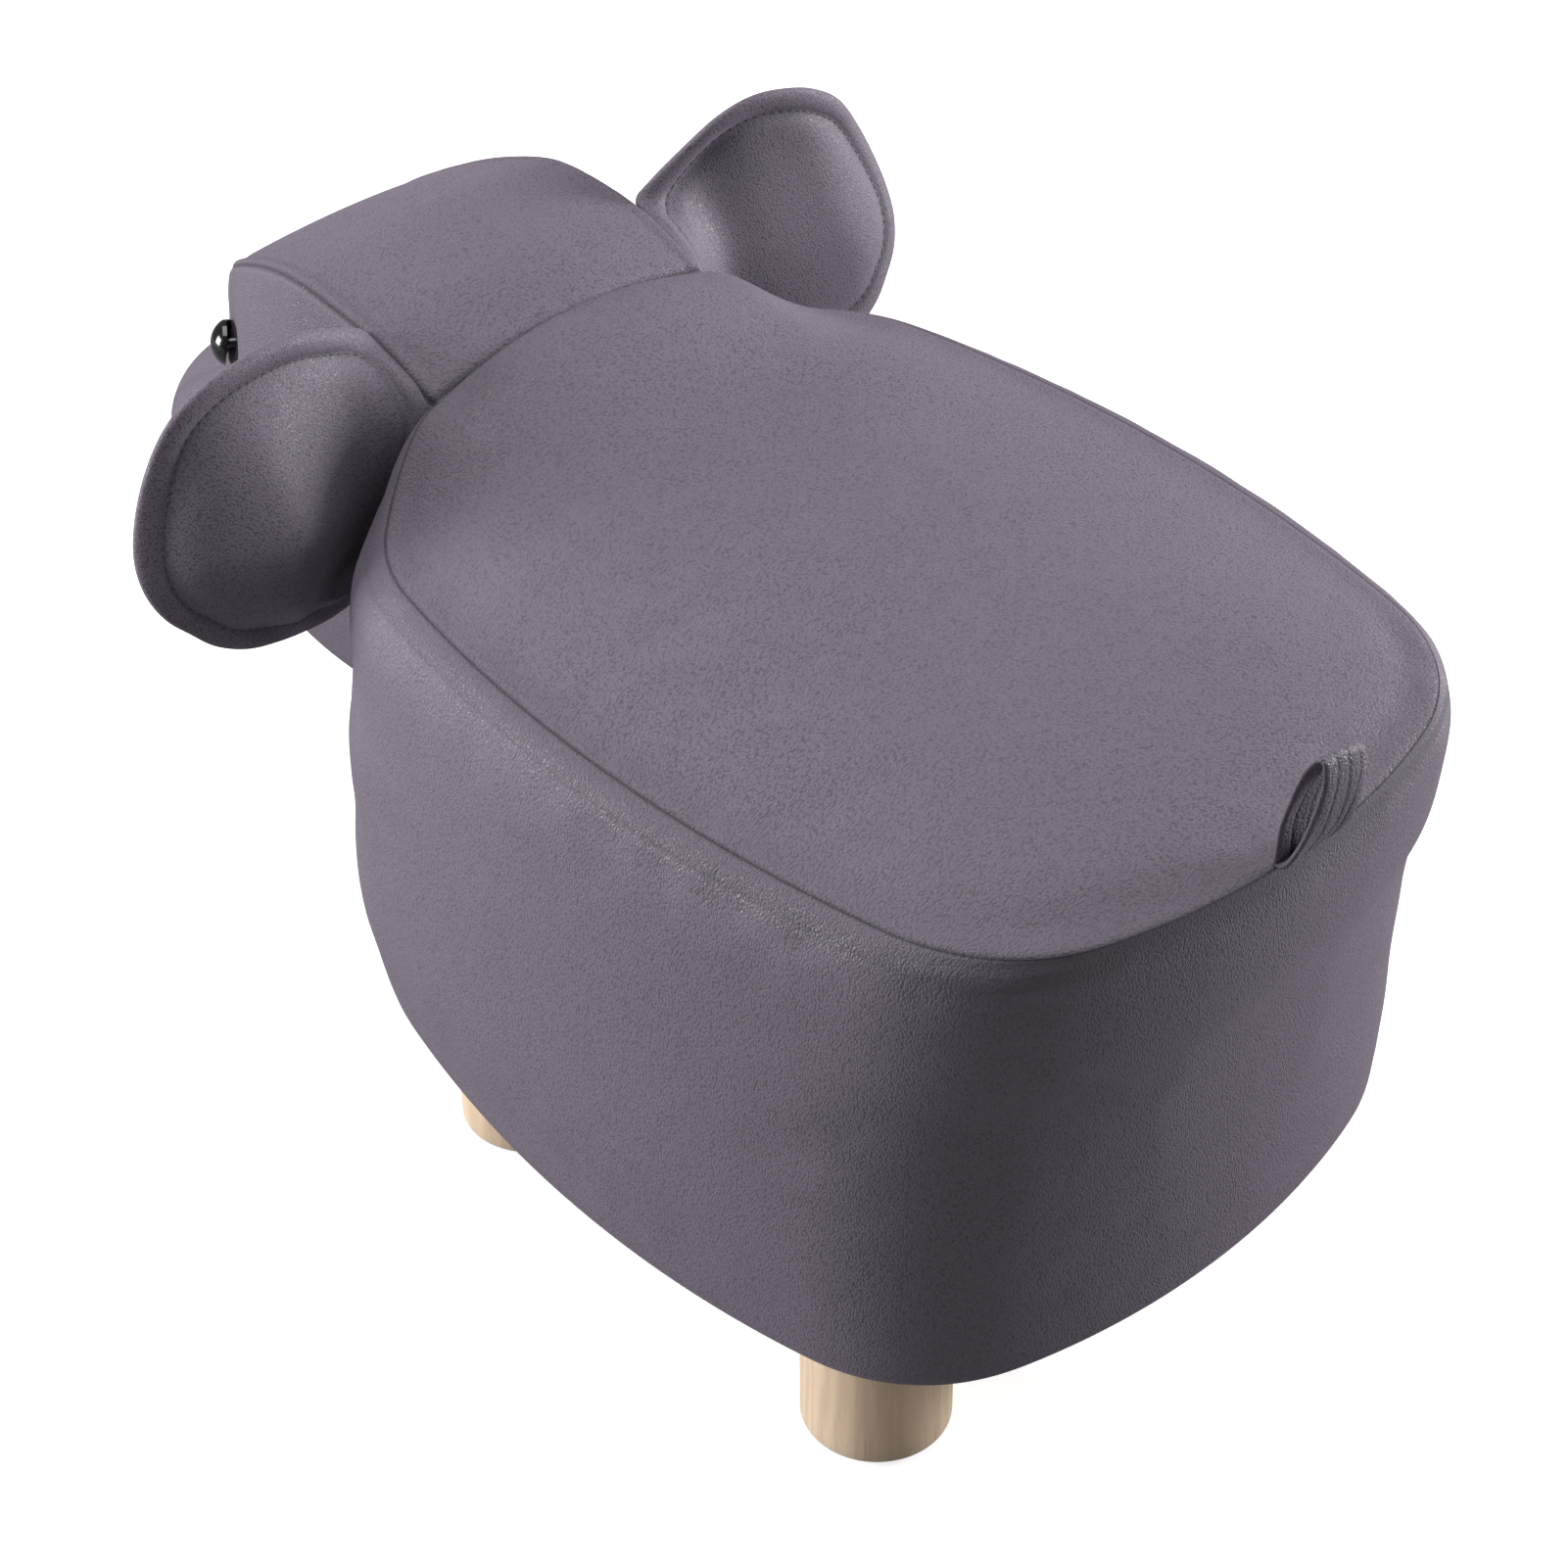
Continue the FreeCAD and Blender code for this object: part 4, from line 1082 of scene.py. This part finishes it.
def trunk_surface():
    """The trunk as rings from root to tip, with each point's turn about its middle line."""
    head = sizes("head")
    ahead, down, radius = TRUNK_STATIONS.T
    root_y = -(head.neck_front + head.reach - head.trunk_root_depth)
    drop = head.trunk_root_height - head.trunk_tip_height
    keys = np.column_stack([
        root_y - head.trunk_reach * ahead + 3.0 * hump(down - 0.62, 0.25) - 4.5 * hump(down - 0.34, 0.14),
        head.trunk_root_height - drop * down + 7.0 * hump(down - 0.36, 0.2),
        head.trunk_radius * radius * (1.0 + 0.04 * hump(down - 0.4, 0.25)),
    ])
    run = along(keys)
    tip_run = run[-1] - 12
    places = np.concatenate([np.linspace(0, tip_run, 46)[:-1], np.linspace(tip_run, run[-1], 9)])
    rows = spline(run, places, keys)
    for _ in range(2):
        rows[1:-1] = 0.5 * rows[1:-1] + 0.25 * (rows[:-2] + rows[2:])
    ways = np.gradient(rows[:, :2], axis=0)
    ways /= np.linalg.norm(ways, axis=1, keepdims=True)
    turns = np.linspace(0, 2 * math.pi, 73)[:-1]
    points = []
    for (y, z, radius), (way_y, way_z) in zip(rows, ways):
        upward = np.array([0.0, way_z, -way_y])
        ring = np.cos(turns)[:, None] * (1.0, 0.0, 0.0) + np.sin(turns)[:, None] * upward
        points.append(radius * ring + (0.0, y, z))
    return np.array(points), turns


class Trunk(bpy.types.Operator):
    """Makes the tapering stuffed trunk"""

    bl_idname = "footstool.trunk"
    bl_label = "Trunk"

    def execute(self, context):
        points, turns = trunk_surface()
        rows, columns = points.shape[:2]
        outward = points - points.mean(axis=1, keepdims=True)
        radius = np.linalg.norm(outward, axis=2)
        outward = outward / np.maximum(radius[..., None], 1e-6)
        gap = np.min([np.abs(turns - math.radians(seam)) for seam in TRUNK_SEAMS], axis=0) * radius
        run = np.arange(rows)[:, None] / rows
        creases = 0.5 * np.sin(run * 34.0 + 1.2 * np.sin(turns)) * hump(run - 0.55, 0.16) * (turns > math.pi)
        dip = creases + 0.3 * hump(gap - 2.6, 1.3) - 1.2 * hump(gap, 1.4) - 0.5 * hump(gap - 5.0, 1.0)
        tip = points[-1].mean(axis=0) + (0.0, 0.0, -0.6)
        faces = grid_faces(rows, columns, True) + fan_faces(rows * columns, (rows - 1) * columns, columns)
        # Marks for painted shade along the trunk's seams, and for painted shade with more gloss all over the
        # trunk
        marks = {"seam": np.append(hump(gap, 1.0), 0.0), "roll": np.full(rows * columns + 1, 0.85)}
        moved = pushed(points, outward, dip).reshape(-1, 3)
        piece = cover("trunk_cover", np.vstack([moved, tip]), faces, "suede", marks)
        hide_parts("trunk")
        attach(piece, "stool")
        return {"FINISHED"}


# ---------------------------------------------------------------- ears


# The left ear's edge, from the head's top seam round the tip to the root's low end, then up its sewn root
EAR_LOOP = np.array((
    (71.0, -229.0, 327.0), (78.0, -228.0, 333.5), (95.0, -224.0, 342.5), (112.0, -220.0, 349.5),
    (130.0, -217.0, 352.5), (150.0, -214.5, 352.0), (165.0, -214.5, 347.5), (177.0, -216.0, 339.0),
    (187.0, -217.0, 325.0), (195.5, -216.0, 308.0), (201.0, -213.0, 291.0), (201.5, -208.0, 277.0),
    (197.0, -203.0, 265.0), (189.0, -199.0, 256.0), (180.0, -196.0, 247.0), (167.0, -194.0, 240.0),
    (152.0, -194.5, 235.5), (135.0, -197.0, 231.5), (120.0, -200.0, 229.0), (105.0, -203.0, 229.5),
    (92.0, -206.0, 233.5), (83.0, -207.0, 241.0),
    (80.5, -203.0, 255.0), (78.0, -197.0, 272.0), (74.0, -191.5, 292.0), (69.5, -189.0, 309.0),
    (69.5, -196.0, 315.0), (70.0, -211.0, 321.0),
))
# The ear's middle, across and up
EAR_CENTRE = np.array((136.0, 290.0))
# The ear's outer rings lie this far in from its edge
RIM_DEPTHS = (0.0, 0.5, 1.3, 2.6, 4.2, 5.8, 7.4, 8.6, 9.4, 10.0, 10.6, 11.4, 12.8, 15.5)
# The inner rings count as this far in, which is past all that the rim does
WELL_INSIDE = 1000.0
# An ear's root would bend between these distances from the middle of the head; no bend is made
BEND_START, BEND_END = 74.0, 98.0


def closed_run(points, count):
    """Evenly spaced points round a smooth closed curve through the given points."""
    loop = np.vstack([points[-3:], points, points[:3]])
    run = along(loop)
    dense = np.linspace(run[3], run[3 + len(points)], 2400, endpoint=False)
    index = np.clip(np.searchsorted(run, dense, side="right") - 1, 1, len(loop) - 3)
    share = ((dense - run[index]) / (run[index + 1] - run[index]))[:, None]
    before, low, high, after = (loop[index + step] for step in (-1, 0, 1, 2))
    curve = 0.5 * (
        2 * low
        + (high - before) * share
        + (2 * before - 5 * low + 4 * high - after) * share**2
        + (3 * low - before - 3 * high + after) * share**3
    )
    whole = along(np.vstack([curve, curve[:1]]))[-1]
    return at_run(curve, np.linspace(0, whole, count, endpoint=False))


def skin_depth(x, z, edge):
    """Depth of a skin stretched across the ear's edge, from mean value weights."""
    spokes = edge[None, :, [0, 2]] - np.stack([x, z], 1)[:, None]
    length = np.maximum(np.linalg.norm(spokes, axis=2), 1e-6)
    after, far = np.roll(spokes, -1, 1), np.roll(length, -1, 1)
    cross = spokes[..., 0] * after[..., 1] - spokes[..., 1] * after[..., 0]
    half = (length * far - np.sum(spokes * after, axis=2)) / np.where(np.abs(cross) < 1e-9, 1e-9, cross)
    weight = (half + np.roll(half, 1, 1)) / length
    return np.sum(weight * edge[None, :, 1], axis=1) / np.sum(weight, axis=1)


def ear_puff(x, z, ring, side):
    """How far the ear's stuffing pushes its sheet to the rear."""
    share = 1.0 - ring**2
    u, w = x - EAR_CENTRE[0], z - EAR_CENTRE[1]
    if side == "right":
        return share * (1.0 + 0.16 * u - 0.003 * (w - 8.0) ** 2)
    crest = 1.0 - np.sqrt((w + 6.0) ** 2 + 64.0) / 62.0
    outer = 1.0 - 0.45 * eased((u - 5.0) / 50.0)
    return eased(1.4 * share) * 28.0 * crest * eased((u + 45.0) / 60.0) * outer


def ear_folds(points, side):
    """Soft folds of an ear's sheet, as a shift to the rear."""
    x, z = points[..., 0], points[..., 2]
    if side == "right":
        return 1.0 * hump(x - 168.0 + 0.3 * (z - 290.0), 12.0) - 4.5 * hump(x - 101.0, 17.0)
    folds = 0.0
    for height, across, slant, width in (
        (1.8, 170, 0.25, 5.0), (-1.3, 158, 0.25, 6.0), (2.0, 143, 0.35, 5.0), (-1.6, 130, 0.3, 6.0)):
        folds = folds + height * hump(x - across - slant * (z - 240), width)
    lip = 5.0 * hump(z - 241.0 - 0.12 * (x - 118.0), 5.0) * hump(x - 112.0, 22.0)
    hollow = 2.5 * hump(z - 256.0, 8.0) * hump(x - 116.0, 26.0)
    upper = 0.9 * hump(z - 322 + 0.5 * (x - 140), 8.0) * hump(x - 150, 40.0)
    return folds * eased((280.0 - z) / 34.0) + upper + lip - hollow


def ear_surface(side):
    """An ear's middle sheet as rings from its edge inwards: the rings, the middle, depths and edge."""
    loop = EAR_LOOP.copy()
    if side == "right":
        loop[:, 2] += 8.0 * hump(loop[:, 0] - 125.0, 36.0) * eased((loop[:, 2] - 300.0) / 30.0)
    edge = closed_run(loop, 132)
    flat_edge = edge[:, [0, 2]]
    spans = np.linalg.norm(flat_edge - EAR_CENTRE, axis=1)
    rings = [np.clip(1 - depth / spans, 0, 1) for depth in RIM_DEPTHS]
    rings += [rings[-1] * share for share in np.linspace(1, 0, 15)[1:-1]]
    rows = [edge]
    for ring in rings[1:]:
        x, z = (EAR_CENTRE + (flat_edge - EAR_CENTRE) * ring[:, None]).T
        rows.append(np.column_stack([x, skin_depth(x, z, edge) + ear_puff(x, z, ring, side), z]))
    depth = skin_depth(EAR_CENTRE[:1], EAR_CENTRE[1:], edge)[0] + ear_puff(*EAR_CENTRE, 0.0, side)
    middle = np.array([EAR_CENTRE[0], depth, EAR_CENTRE[1]])
    inside = np.array(RIM_DEPTHS + (WELL_INSIDE,) * (len(rings) - len(RIM_DEPTHS)))
    return np.array(rows), middle, inside, edge


def sheet_normals(points):
    """Smoothed unit normals of an ear's sheet, facing forwards, and all alike near its middle."""
    normals = grid_normals(points, True)
    if np.mean(normals[..., 1]) > 0:
        normals *= -1
    for _ in range(6):
        normals = normals + np.roll(normals, 1, 1) + np.roll(normals, -1, 1)
        normals[1:-1] += normals[:-2] + normals[2:]
        normals /= np.maximum(np.linalg.norm(normals, axis=2, keepdims=True), 1e-9)
    normals[-4:] = normals[-4:].mean(axis=(0, 1))
    normals[-4:] /= np.linalg.norm(normals[-4:], axis=2, keepdims=True)
    return normals


def half_thickness(inside, rooted):
    """Half the ear's thickness at each point: a puffed rim, a stitched line and the padded middle."""
    ear = sizes("ear")
    rim, half_body, thin = ear.rim_width, ear.thickness / 2, 1.5
    round_rim = np.sqrt(np.clip(1 - ((inside - rim * 0.5) / (rim * 0.5)) ** 2, 0, 1))
    puffed = np.maximum(ear.rim_thickness / 2 * round_rim, 1.4 * eased(inside / 3.0))
    padded = thin + (half_body - thin) * eased((inside - rim) / 8.0)
    half = np.where(inside < rim - 0.3, puffed, padded)
    ridge = 1.1 * hump(inside - 4.5, 2.6) - 0.5 * hump(inside - 8.5, 1.0)
    seamed = np.minimum(thin + 0.08 * np.minimum(inside, 12.0) + ridge, half_body)
    held = rooted[None, :] * (1 - eased((inside - 8.0) / 14.0))[:, None]
    half = half[:, None] * (1 - held) + held * seamed[:, None]
    half[0] = 0.0
    return half


def ear_piece(side):
    """One padded ear with its puffed rim, and the lines of its stitches."""
    ear = sizes("ear")
    points, middle, inside, edge = ear_surface(side)
    points[..., 1] += ear_folds(points, side) * eased((inside[:, None] - 2.0) / 12.0)
    normals = sheet_normals(points)
    rooted = eased((88.0 - edge[:, 0]) / 12.0) * eased((331.0 - edge[:, 2]) / 10.0)
    half = half_thickness(inside, rooted)
    mirror = np.array([1.0 if side == "left" else -1.0, 1.0, 1.0])
    front, back = (pushed(points, normals, sign * half) * mirror for sign in (1.0, -1.0))
    tips = [(middle + sign * normals[-1, 0] * ear.thickness / 2) * mirror for sign in (1.0, -1.0)]
    both = np.vstack([front.reshape(-1, 3), back[1:].reshape(-1, 3), *tips])
    rows, columns = points.shape[:2]
    count = rows * columns
    faces = grid_faces(rows, columns, True)
    for row in range(rows - 1):
        near, far = (count + (row - 1) * columns if row else 0), count + row * columns
        for column in range(columns):
            after = (column + 1) % columns
            faces.append((near + after, near + column, far + column, far + after))
    faces += fan_faces(len(both) - 2, count - columns, columns)
    faces += fan_faces(len(both) - 1, len(both) - 2 - columns, columns)
    # Painted shade: the seam mark darkens the groove of the stitched line round the rim, less near the root
    groove = 0.4 * hump(inside - ear.rim_width, 0.9)[:, None] * (1 - 0.4 * rooted[None, :])
    seam = np.concatenate([groove.ravel(), groove[1:].ravel(), [0.0, 0.0]])
    piece = cover(side + "_ear_cover", both, faces, "ear_suede", {"seam": seam})
    line = int(np.argmin(np.abs(inside - ear.rim_width)))
    return piece, [to_row(sheet[line][rooted < 0.3]) for sheet in (front, back)]


def split_run(points, limit=0.012):
    """Cuts a row of points where it jumps."""
    jumps = np.nonzero(np.linalg.norm(np.diff(points, axis=0), axis=1) > limit)[0] + 1
    return [run for run in np.split(points, jumps) if len(run) > 3]


class Ears(bpy.types.Operator):
    """Makes both padded ears and the stitches round their rims"""

    bl_idname = "footstool.ears"
    bl_label = "Ears"

    def execute(self, context):
        for side, sign in (("left", 1.0), ("right", -1.0)):
            start, end = (tuple(to_row((sign * reach, -215.0, 285.0))) for reach in (BEND_START, BEND_END))
            piece, lines = ear_piece(side)
            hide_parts(side + "_ear", side + "_ear_root")
            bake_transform(piece)
            runs = [run for line in lines for run in split_run(line)]
            stitches = stitch_rows(side + "_ear_stitches", runs, 0.0030, 0.0006)
            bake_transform(stitches)
        return {"FINISHED"}


# ---------------------------------------------------------------- tail


# The front of the tail loop's side view, as shares of its depth and its height
TAIL_SHARES = ((0.35, 0.0), (0.93, 0.28), (1.0, 0.55), (0.88, 0.70), (0.65, 0.85))
# Rows of stitches along the strap, as shares of its half width
TAIL_GROOVES = (-0.55, -0.1, 0.42)
# Two points behind the body's centre, along and up, for a bend of the tail; no bend is made
TAIL_BEND = ((0.0, 199.0, 279.0), (0.0, 201.5, 287.0))


def tail_line(half_depth, low, top, count):
    """The tail loop's closed side view: up the front, over the top, down the rear and into the seam."""
    front = [(-half_depth * depth, low + (top - low) * height) for depth, height in TAIL_SHARES]
    rear = [(-y, z) for y, z in reversed(front)]
    foot = (-half_depth * 0.25, low - half_depth * 0.6)
    return closed_run(np.array([(0.0, y, z) for y, z in (*front, (0.0, top), *rear, foot)]), count)


def tail_placed(points):
    """Leans the tail loop back and sets it on the rear seam."""
    body, tail = sizes("body"), sizes("tail")
    seam_height = body.seam_height - body.seam_slope * body.seam_half_length
    x, y, z = points[..., 0], points[..., 1], points[..., 2] - tail.strap
    back, up = (1.0, 0.3)
    along_body = y * math.cos(tail.lean) + z * math.sin(tail.lean) + body.seam_half_length + back
    height = z * math.cos(tail.lean) - y * math.sin(tail.lean) + tail.strap + seam_height + up
    return np.stack([x, along_body, height], axis=-1)


class Tail(bpy.types.Operator):
    """Makes the folded tail strap with its rows of stitches"""

    bl_idname = "footstool.tail"
    bl_label = "Tail"

    def execute(self, context):
        tail = sizes("tail")
        half_width = tail.width / 2
        line = tail_line((tail.gap + tail.strap) / 2, tail.strap * 1.6, tail.height - tail.strap / 2, 96)
        outward = np.cross((1.0, 0.0, 0.0), np.roll(line, -1, 0) - np.roll(line, 1, 0))
        outward /= np.linalg.norm(outward, axis=1, keepdims=True)
        if np.mean(np.sum(outward * (line - line.mean(axis=0)), axis=1)) < 0:
            outward *= -1
        across = np.linspace(-1.0, 1.0, 41)
        section = [(share, 1.0) for share in across] + [(share, -1.0) for share in across[::-1]]
        turns = np.linspace(0, 2 * math.pi, len(line), endpoint=False)
        rows, seam = [], []
        for share, face in section:
            gaps = [(share - place) * half_width for place in TAIL_GROOVES]
            wander = [0.9 * np.sin(turns * 2 + place * 9) for place in TAIL_GROOVES]
            groove = sum(hump(gap + bend, 0.75) for gap, bend in zip(gaps, wander))
            half_strap = tail.strap / 2 * (1 - 0.82 * abs(share) ** 24) - 0.3 * groove
            wave = 0.6 * np.sin(turns * 2 + 2.0 * share) * abs(share)
            ring = line + outward * (face * half_strap + wave)[:, None]
            ring[:, 2] = tail.strap + (ring[:, 2] - tail.strap) * (1.0 + 0.07 * share - 0.03 * share**2)
            rows.append(ring + (share * half_width, 0.0, 0.0))
            # Painted shade along the stitched grooves
            seam.append(0.5 * sum(hump(gap, 0.7) for gap in gaps))
        points = tail_placed(np.array(rows).transpose(1, 0, 2))
        count, columns = points.shape[:2]
        # Marks for painted shade along the stitched grooves, and for painted shade with more gloss all over
        # the strap
        marks = {"seam": np.tile(seam, count), "roll": np.full(count * columns, 0.9)}
        piece = cover("tail_strap", points, grid_faces(count, columns, True, looped=True), "suede", marks)
        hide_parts("tail_loop")
        start, end = (tuple(to_row(point)) for point in TAIL_BEND)
        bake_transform(piece)
        return {"FINISHED"}


# ---------------------------------------------------------------- stitches


# Distance between stitches, and how far the body's ones are set into the suede, in metres
STITCH_PITCH, STITCH_SINK = 0.0042, 0.00012


@functools.cache
def stitch_tree():
    """Geometry nodes that lay stitches along a line."""
    tree = bpy.data.node_groups.new("stitch_row", "GeometryNodeTree")
    nodes = Nodes(tree)
    tree.interface.new_socket("Line", in_out="INPUT", socket_type="NodeSocketGeometry")
    for name, value in (("Pitch", STITCH_PITCH), ("Length", 0.0030), ("Thickness", 0.0006)):
        socket = tree.interface.new_socket(name, in_out="INPUT", socket_type="NodeSocketFloat")
        socket.default_value = value
        socket.subtype = "DISTANCE"
    tree.interface.new_socket("Thread", in_out="INPUT", socket_type="NodeSocketMaterial")
    tree.interface.new_socket("Stitches", in_out="OUTPUT", socket_type="NodeSocketGeometry")
    given = tree.nodes.new("NodeGroupInput")
    line, pitch, length, thickness, colour = (
        Sock(nodes, given.outputs[name]) for name in ("Line", "Pitch", "Length", "Thickness", "Thread"))
    curve = nodes.add("GeometryNodeMeshToCurve", {}, {0: line})
    spaced = nodes.add("GeometryNodeResampleCurve", {"mode": "LENGTH"}, {"Curve": curve, "Length": pitch})
    bead = nodes.add("GeometryNodeMeshUVSphere", {}, {"Segments": 8, "Rings": 5, "Radius": 0.5})
    scale = nodes.add("ShaderNodeCombineXYZ", {}, {0: length, 1: thickness, 2: thickness})
    tangent = nodes.add("GeometryNodeInputTangent", {}, {})
    turned = nodes.add("FunctionNodeAlignRotationToVector", {"axis": "X"}, {"Vector": tangent})
    placed = {"Points": spaced, "Instance": bead, "Rotation": turned, "Scale": scale}
    laid = nodes.add("GeometryNodeInstanceOnPoints", {}, placed)
    whole = nodes.add("GeometryNodeRealizeInstances", {}, {0: laid})
    smooth = nodes.add("GeometryNodeSetShadeSmooth", {}, {0: whole})
    dressed = nodes.add("GeometryNodeSetMaterial", {}, {"Geometry": smooth, "Material": colour})
    nodes.end("NodeGroupOutput", dressed)
    return tree


def stitch_rows(name, runs, length, thickness):
    """Stitches along runs of points, as one plain mesh."""
    points, edges = [], []
    for run in runs:
        first = len(points)
        points += [tuple(point) for point in run]
        edges += [(first + index, first + index + 1) for index in range(len(run) - 1)]
    mesh = bpy.data.meshes.new(name)
    mesh.from_pydata(points, edges, [])
    piece = linked(name, mesh)
    modifier = piece.modifiers.new("stitches", "NODES")
    modifier.node_group = stitch_tree()
    values = {"Pitch": STITCH_PITCH, "Length": length, "Thickness": thickness, "Thread": finish_of("thread")}
    for item in modifier.node_group.interface.items_tree:
        if item.in_out == "INPUT" and item.name in values:
            modifier[item.identifier] = values[item.name]
    return applied(piece)


def pressed(runs, name, depth):
    """Runs of points set a little way into a piece's surface."""
    mesh = bpy.data.objects[name].data
    tree = BVHTree.FromPolygons(
        [vertex.co for vertex in mesh.vertices], [polygon.vertices for polygon in mesh.polygons])
    placed = []
    for run in runs:
        spots = [tree.find_nearest(Vector(point))[:2] for point in run]
        placed.append(np.array([spot - normal * depth for spot, normal in spots]))
    return placed


class Stitching(bpy.types.Operator):
    """Lays the topstitching along the body's and the head's seams"""

    bl_idname = "footstool.stitching"
    bl_label = "Stitching"

    def execute(self, context):
        body, head = sizes("body"), sizes("head")
        drops = body.topstitch_drop + np.array([2.5, 0.0, -2.5])
        points, _ = wall_surface(*body_places(), 1 - drops / BAND_RUN)
        row = points[1]
        clear_of_neck = (np.abs(row[:, 0]) > 84.0) | (row[:, 1] > -150.0)
        runs = pressed(split_run(to_row(row[clear_of_neck])), "side_band", STITCH_SINK)
        surface, _, _, _, top = head_surface()
        lines = []
        for way in (slice(0, top + 1), slice(top, None, -1)):
            line = [at_run(section[way], [head.topstitch_inset])[0] for section in surface[8:-6]]
            lines.append(to_row(line))
        runs += pressed(lines, "head", STITCH_SINK)
        piece = stitch_rows("body_stitches", runs, 0.0027, 0.0004)
        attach(piece, "stool")
        return {"FINISHED"}


# ---------------------------------------------------------------- what the frame brings


def nodes_named(*starts, end=""):
    """Names of the frame's nodes with one of the given starts and an end."""
    return [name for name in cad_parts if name.startswith(starts) and name.endswith(end)]


NODE_FINISHES = {
    "leg_wood": [name for name in nodes_named("leg_") if name.count("_") == 2],
    "felt": nodes_named("leg_glide"),
    "steel": nodes_named("leg_bolt", "leg_washer", "leg_nuts", "neck_bolts", "frame_screws", "cover_staples"),
    "frame_wood": nodes_named("post_") + nodes_named("", end="_rail"),
    "board": ["base_board", "seat_board", "neck_board", "side_board"],
    "underside_cloth": ["dust_cover"],
    "eye_black": ["left_eye", "right_eye"],
    "washer_plastic": ["left_eye_washer", "right_eye_washer"],
}


class Fittings(bpy.types.Operator):
    """Gives the legs, eyes, boards and fastenings their finishes"""

    bl_idname = "footstool.fittings"
    bl_label = "Legs and fittings"

    def execute(self, context):
        for finish, names in NODE_FINISHES.items():
            for name in names:
                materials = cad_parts[name].data.materials
                materials.clear()
                materials.append(finish_of(finish))
        return {"FINISHED"}


# ---------------------------------------------------------------- stage


# What the lamps face, in metres
AIM = Vector((0.0, 0.0, 0.2))
# The fitted camera's turn as an axis times its angle, and its place in metres
CAMERA_TURN = Vector((0.961191386, 2.39824347, -1.14257926))
CAMERA_PLACE = (0.854929, 0.752427 + 0.087 + SHIFT * MM, 1.166859)


def lamp(name, place, power, width):
    """A square area lamp that faces the stool."""
    data = bpy.data.lights.new(name, "AREA")
    data.shape = "RECTANGLE"
    data.size = data.size_y = width
    data.energy = power
    made = linked(name, data)
    made.location = place
    made.rotation_euler = (AIM - Vector(place)).to_track_quat("-Z", "Y").to_euler()


class Stage(bpy.types.Operator):
    """Sets the floor, the lamps and the camera"""

    bl_idname = "footstool.stage"
    bl_label = "Floor, lamps and camera"

    def execute(self, context):
        stage = sizes("stage")
        scene = context.scene
        data = bpy.data.cameras.new("camera")
        data.sensor_width = 36.0
        data.lens = stage.lens
        data.clip_end = 50.0
        scene.camera = linked("camera", data)
        right, down, ahead = Matrix.Rotation(CAMERA_TURN.length, 3, CAMERA_TURN.normalized())
        turned = [(right[axis], -down[axis], -ahead[axis], CAMERA_PLACE[axis]) for axis in range(3)]
        scene.camera.matrix_world = Matrix((*turned, (0.0, 0.0, 0.0, 1.0)))
        lamp("key", (1.78, -1.55, 0.6), stage.key_power, 0.85)
        lamp("fill", (-2.08, 0.92, 0.6), stage.fill_power, 1.0)
        lamp("top", (0.1, -0.5, 2.5), stage.top_power, 1.8)
        scene.world = bpy.data.worlds.new("studio")
        nodes = emptied(scene.world)
        camera_ray, through_ray = (
            nodes.add("ShaderNodeLightPath", {}, {}, ray) for ray in ("Is Camera Ray", "Is Transmission Ray"))
        larger = {"operation": "MAXIMUM", "use_clamp": True}
        seen = nodes.add("ShaderNodeMath", larger, {0: camera_ray, 1: through_ray})
        grey = {"Color": (0.8, 0.8, 0.8), "Strength": stage.world_strength}
        light = nodes.add("ShaderNodeBackground", {}, grey)
        white = nodes.add("ShaderNodeBackground", {}, {"Color": (1.0, 1.0, 1.0), "Strength": 1.0})
        mixed = nodes.add("ShaderNodeMixShader", {}, {0: seen, 1: light, 2: white})
        nodes.end("ShaderNodeOutputWorld", mixed)
        mesh = bpy.data.meshes.new("floor")
        mesh.from_pydata([(-6, -6, 0), (6, -6, 0), (6, 6, 0), (-6, 6, 0)], [], [(0, 1, 2, 3)])
        mesh.materials.append(finish_of("floor"))
        linked("floor", mesh)
        scene.view_settings.view_transform = "Standard"
        return {"FINISHED"}


# ---------------------------------------------------------------- panel and registration


OPERATORS = (Fittings, SeatPanel, SideBand, Head, Trunk, Ears, Tail, Stitching, Stage)


class FootstoolPanel(bpy.types.Panel):
    """Lists the footstool's pieces in the sidebar"""

    bl_label = "Footstool"
    bl_idname = "VIEW3D_PT_footstool"
    bl_space_type = "VIEW_3D"
    bl_region_type = "UI"
    bl_category = "Footstool"

    def draw(self, context):
        for operator in OPERATORS:
            self.layout.operator(operator.bl_idname)


PARTS = (BodySizes, HeadSizes, EarSizes, TailSizes, Finishes, StageSizes)
CLASSES = (*PARTS, FootstoolSettings, *OPERATORS, FootstoolPanel)


def register():
    """Registers the sizes, the operators and the panel."""
    for made in CLASSES:
        bpy.utils.register_class(made)
    bpy.types.Scene.footstool = PointerProperty(type=FootstoolSettings)


def unregister():
    """Takes them away again."""
    del bpy.types.Scene.footstool
    for made in reversed(CLASSES):
        bpy.utils.unregister_class(made)


def main():
    """Makes the whole footstool."""
    register()
    for operator in OPERATORS:
        group, name = operator.bl_idname.split(".")
        getattr(getattr(bpy.ops, group), name)()


if __name__ == "__main__":
    main()
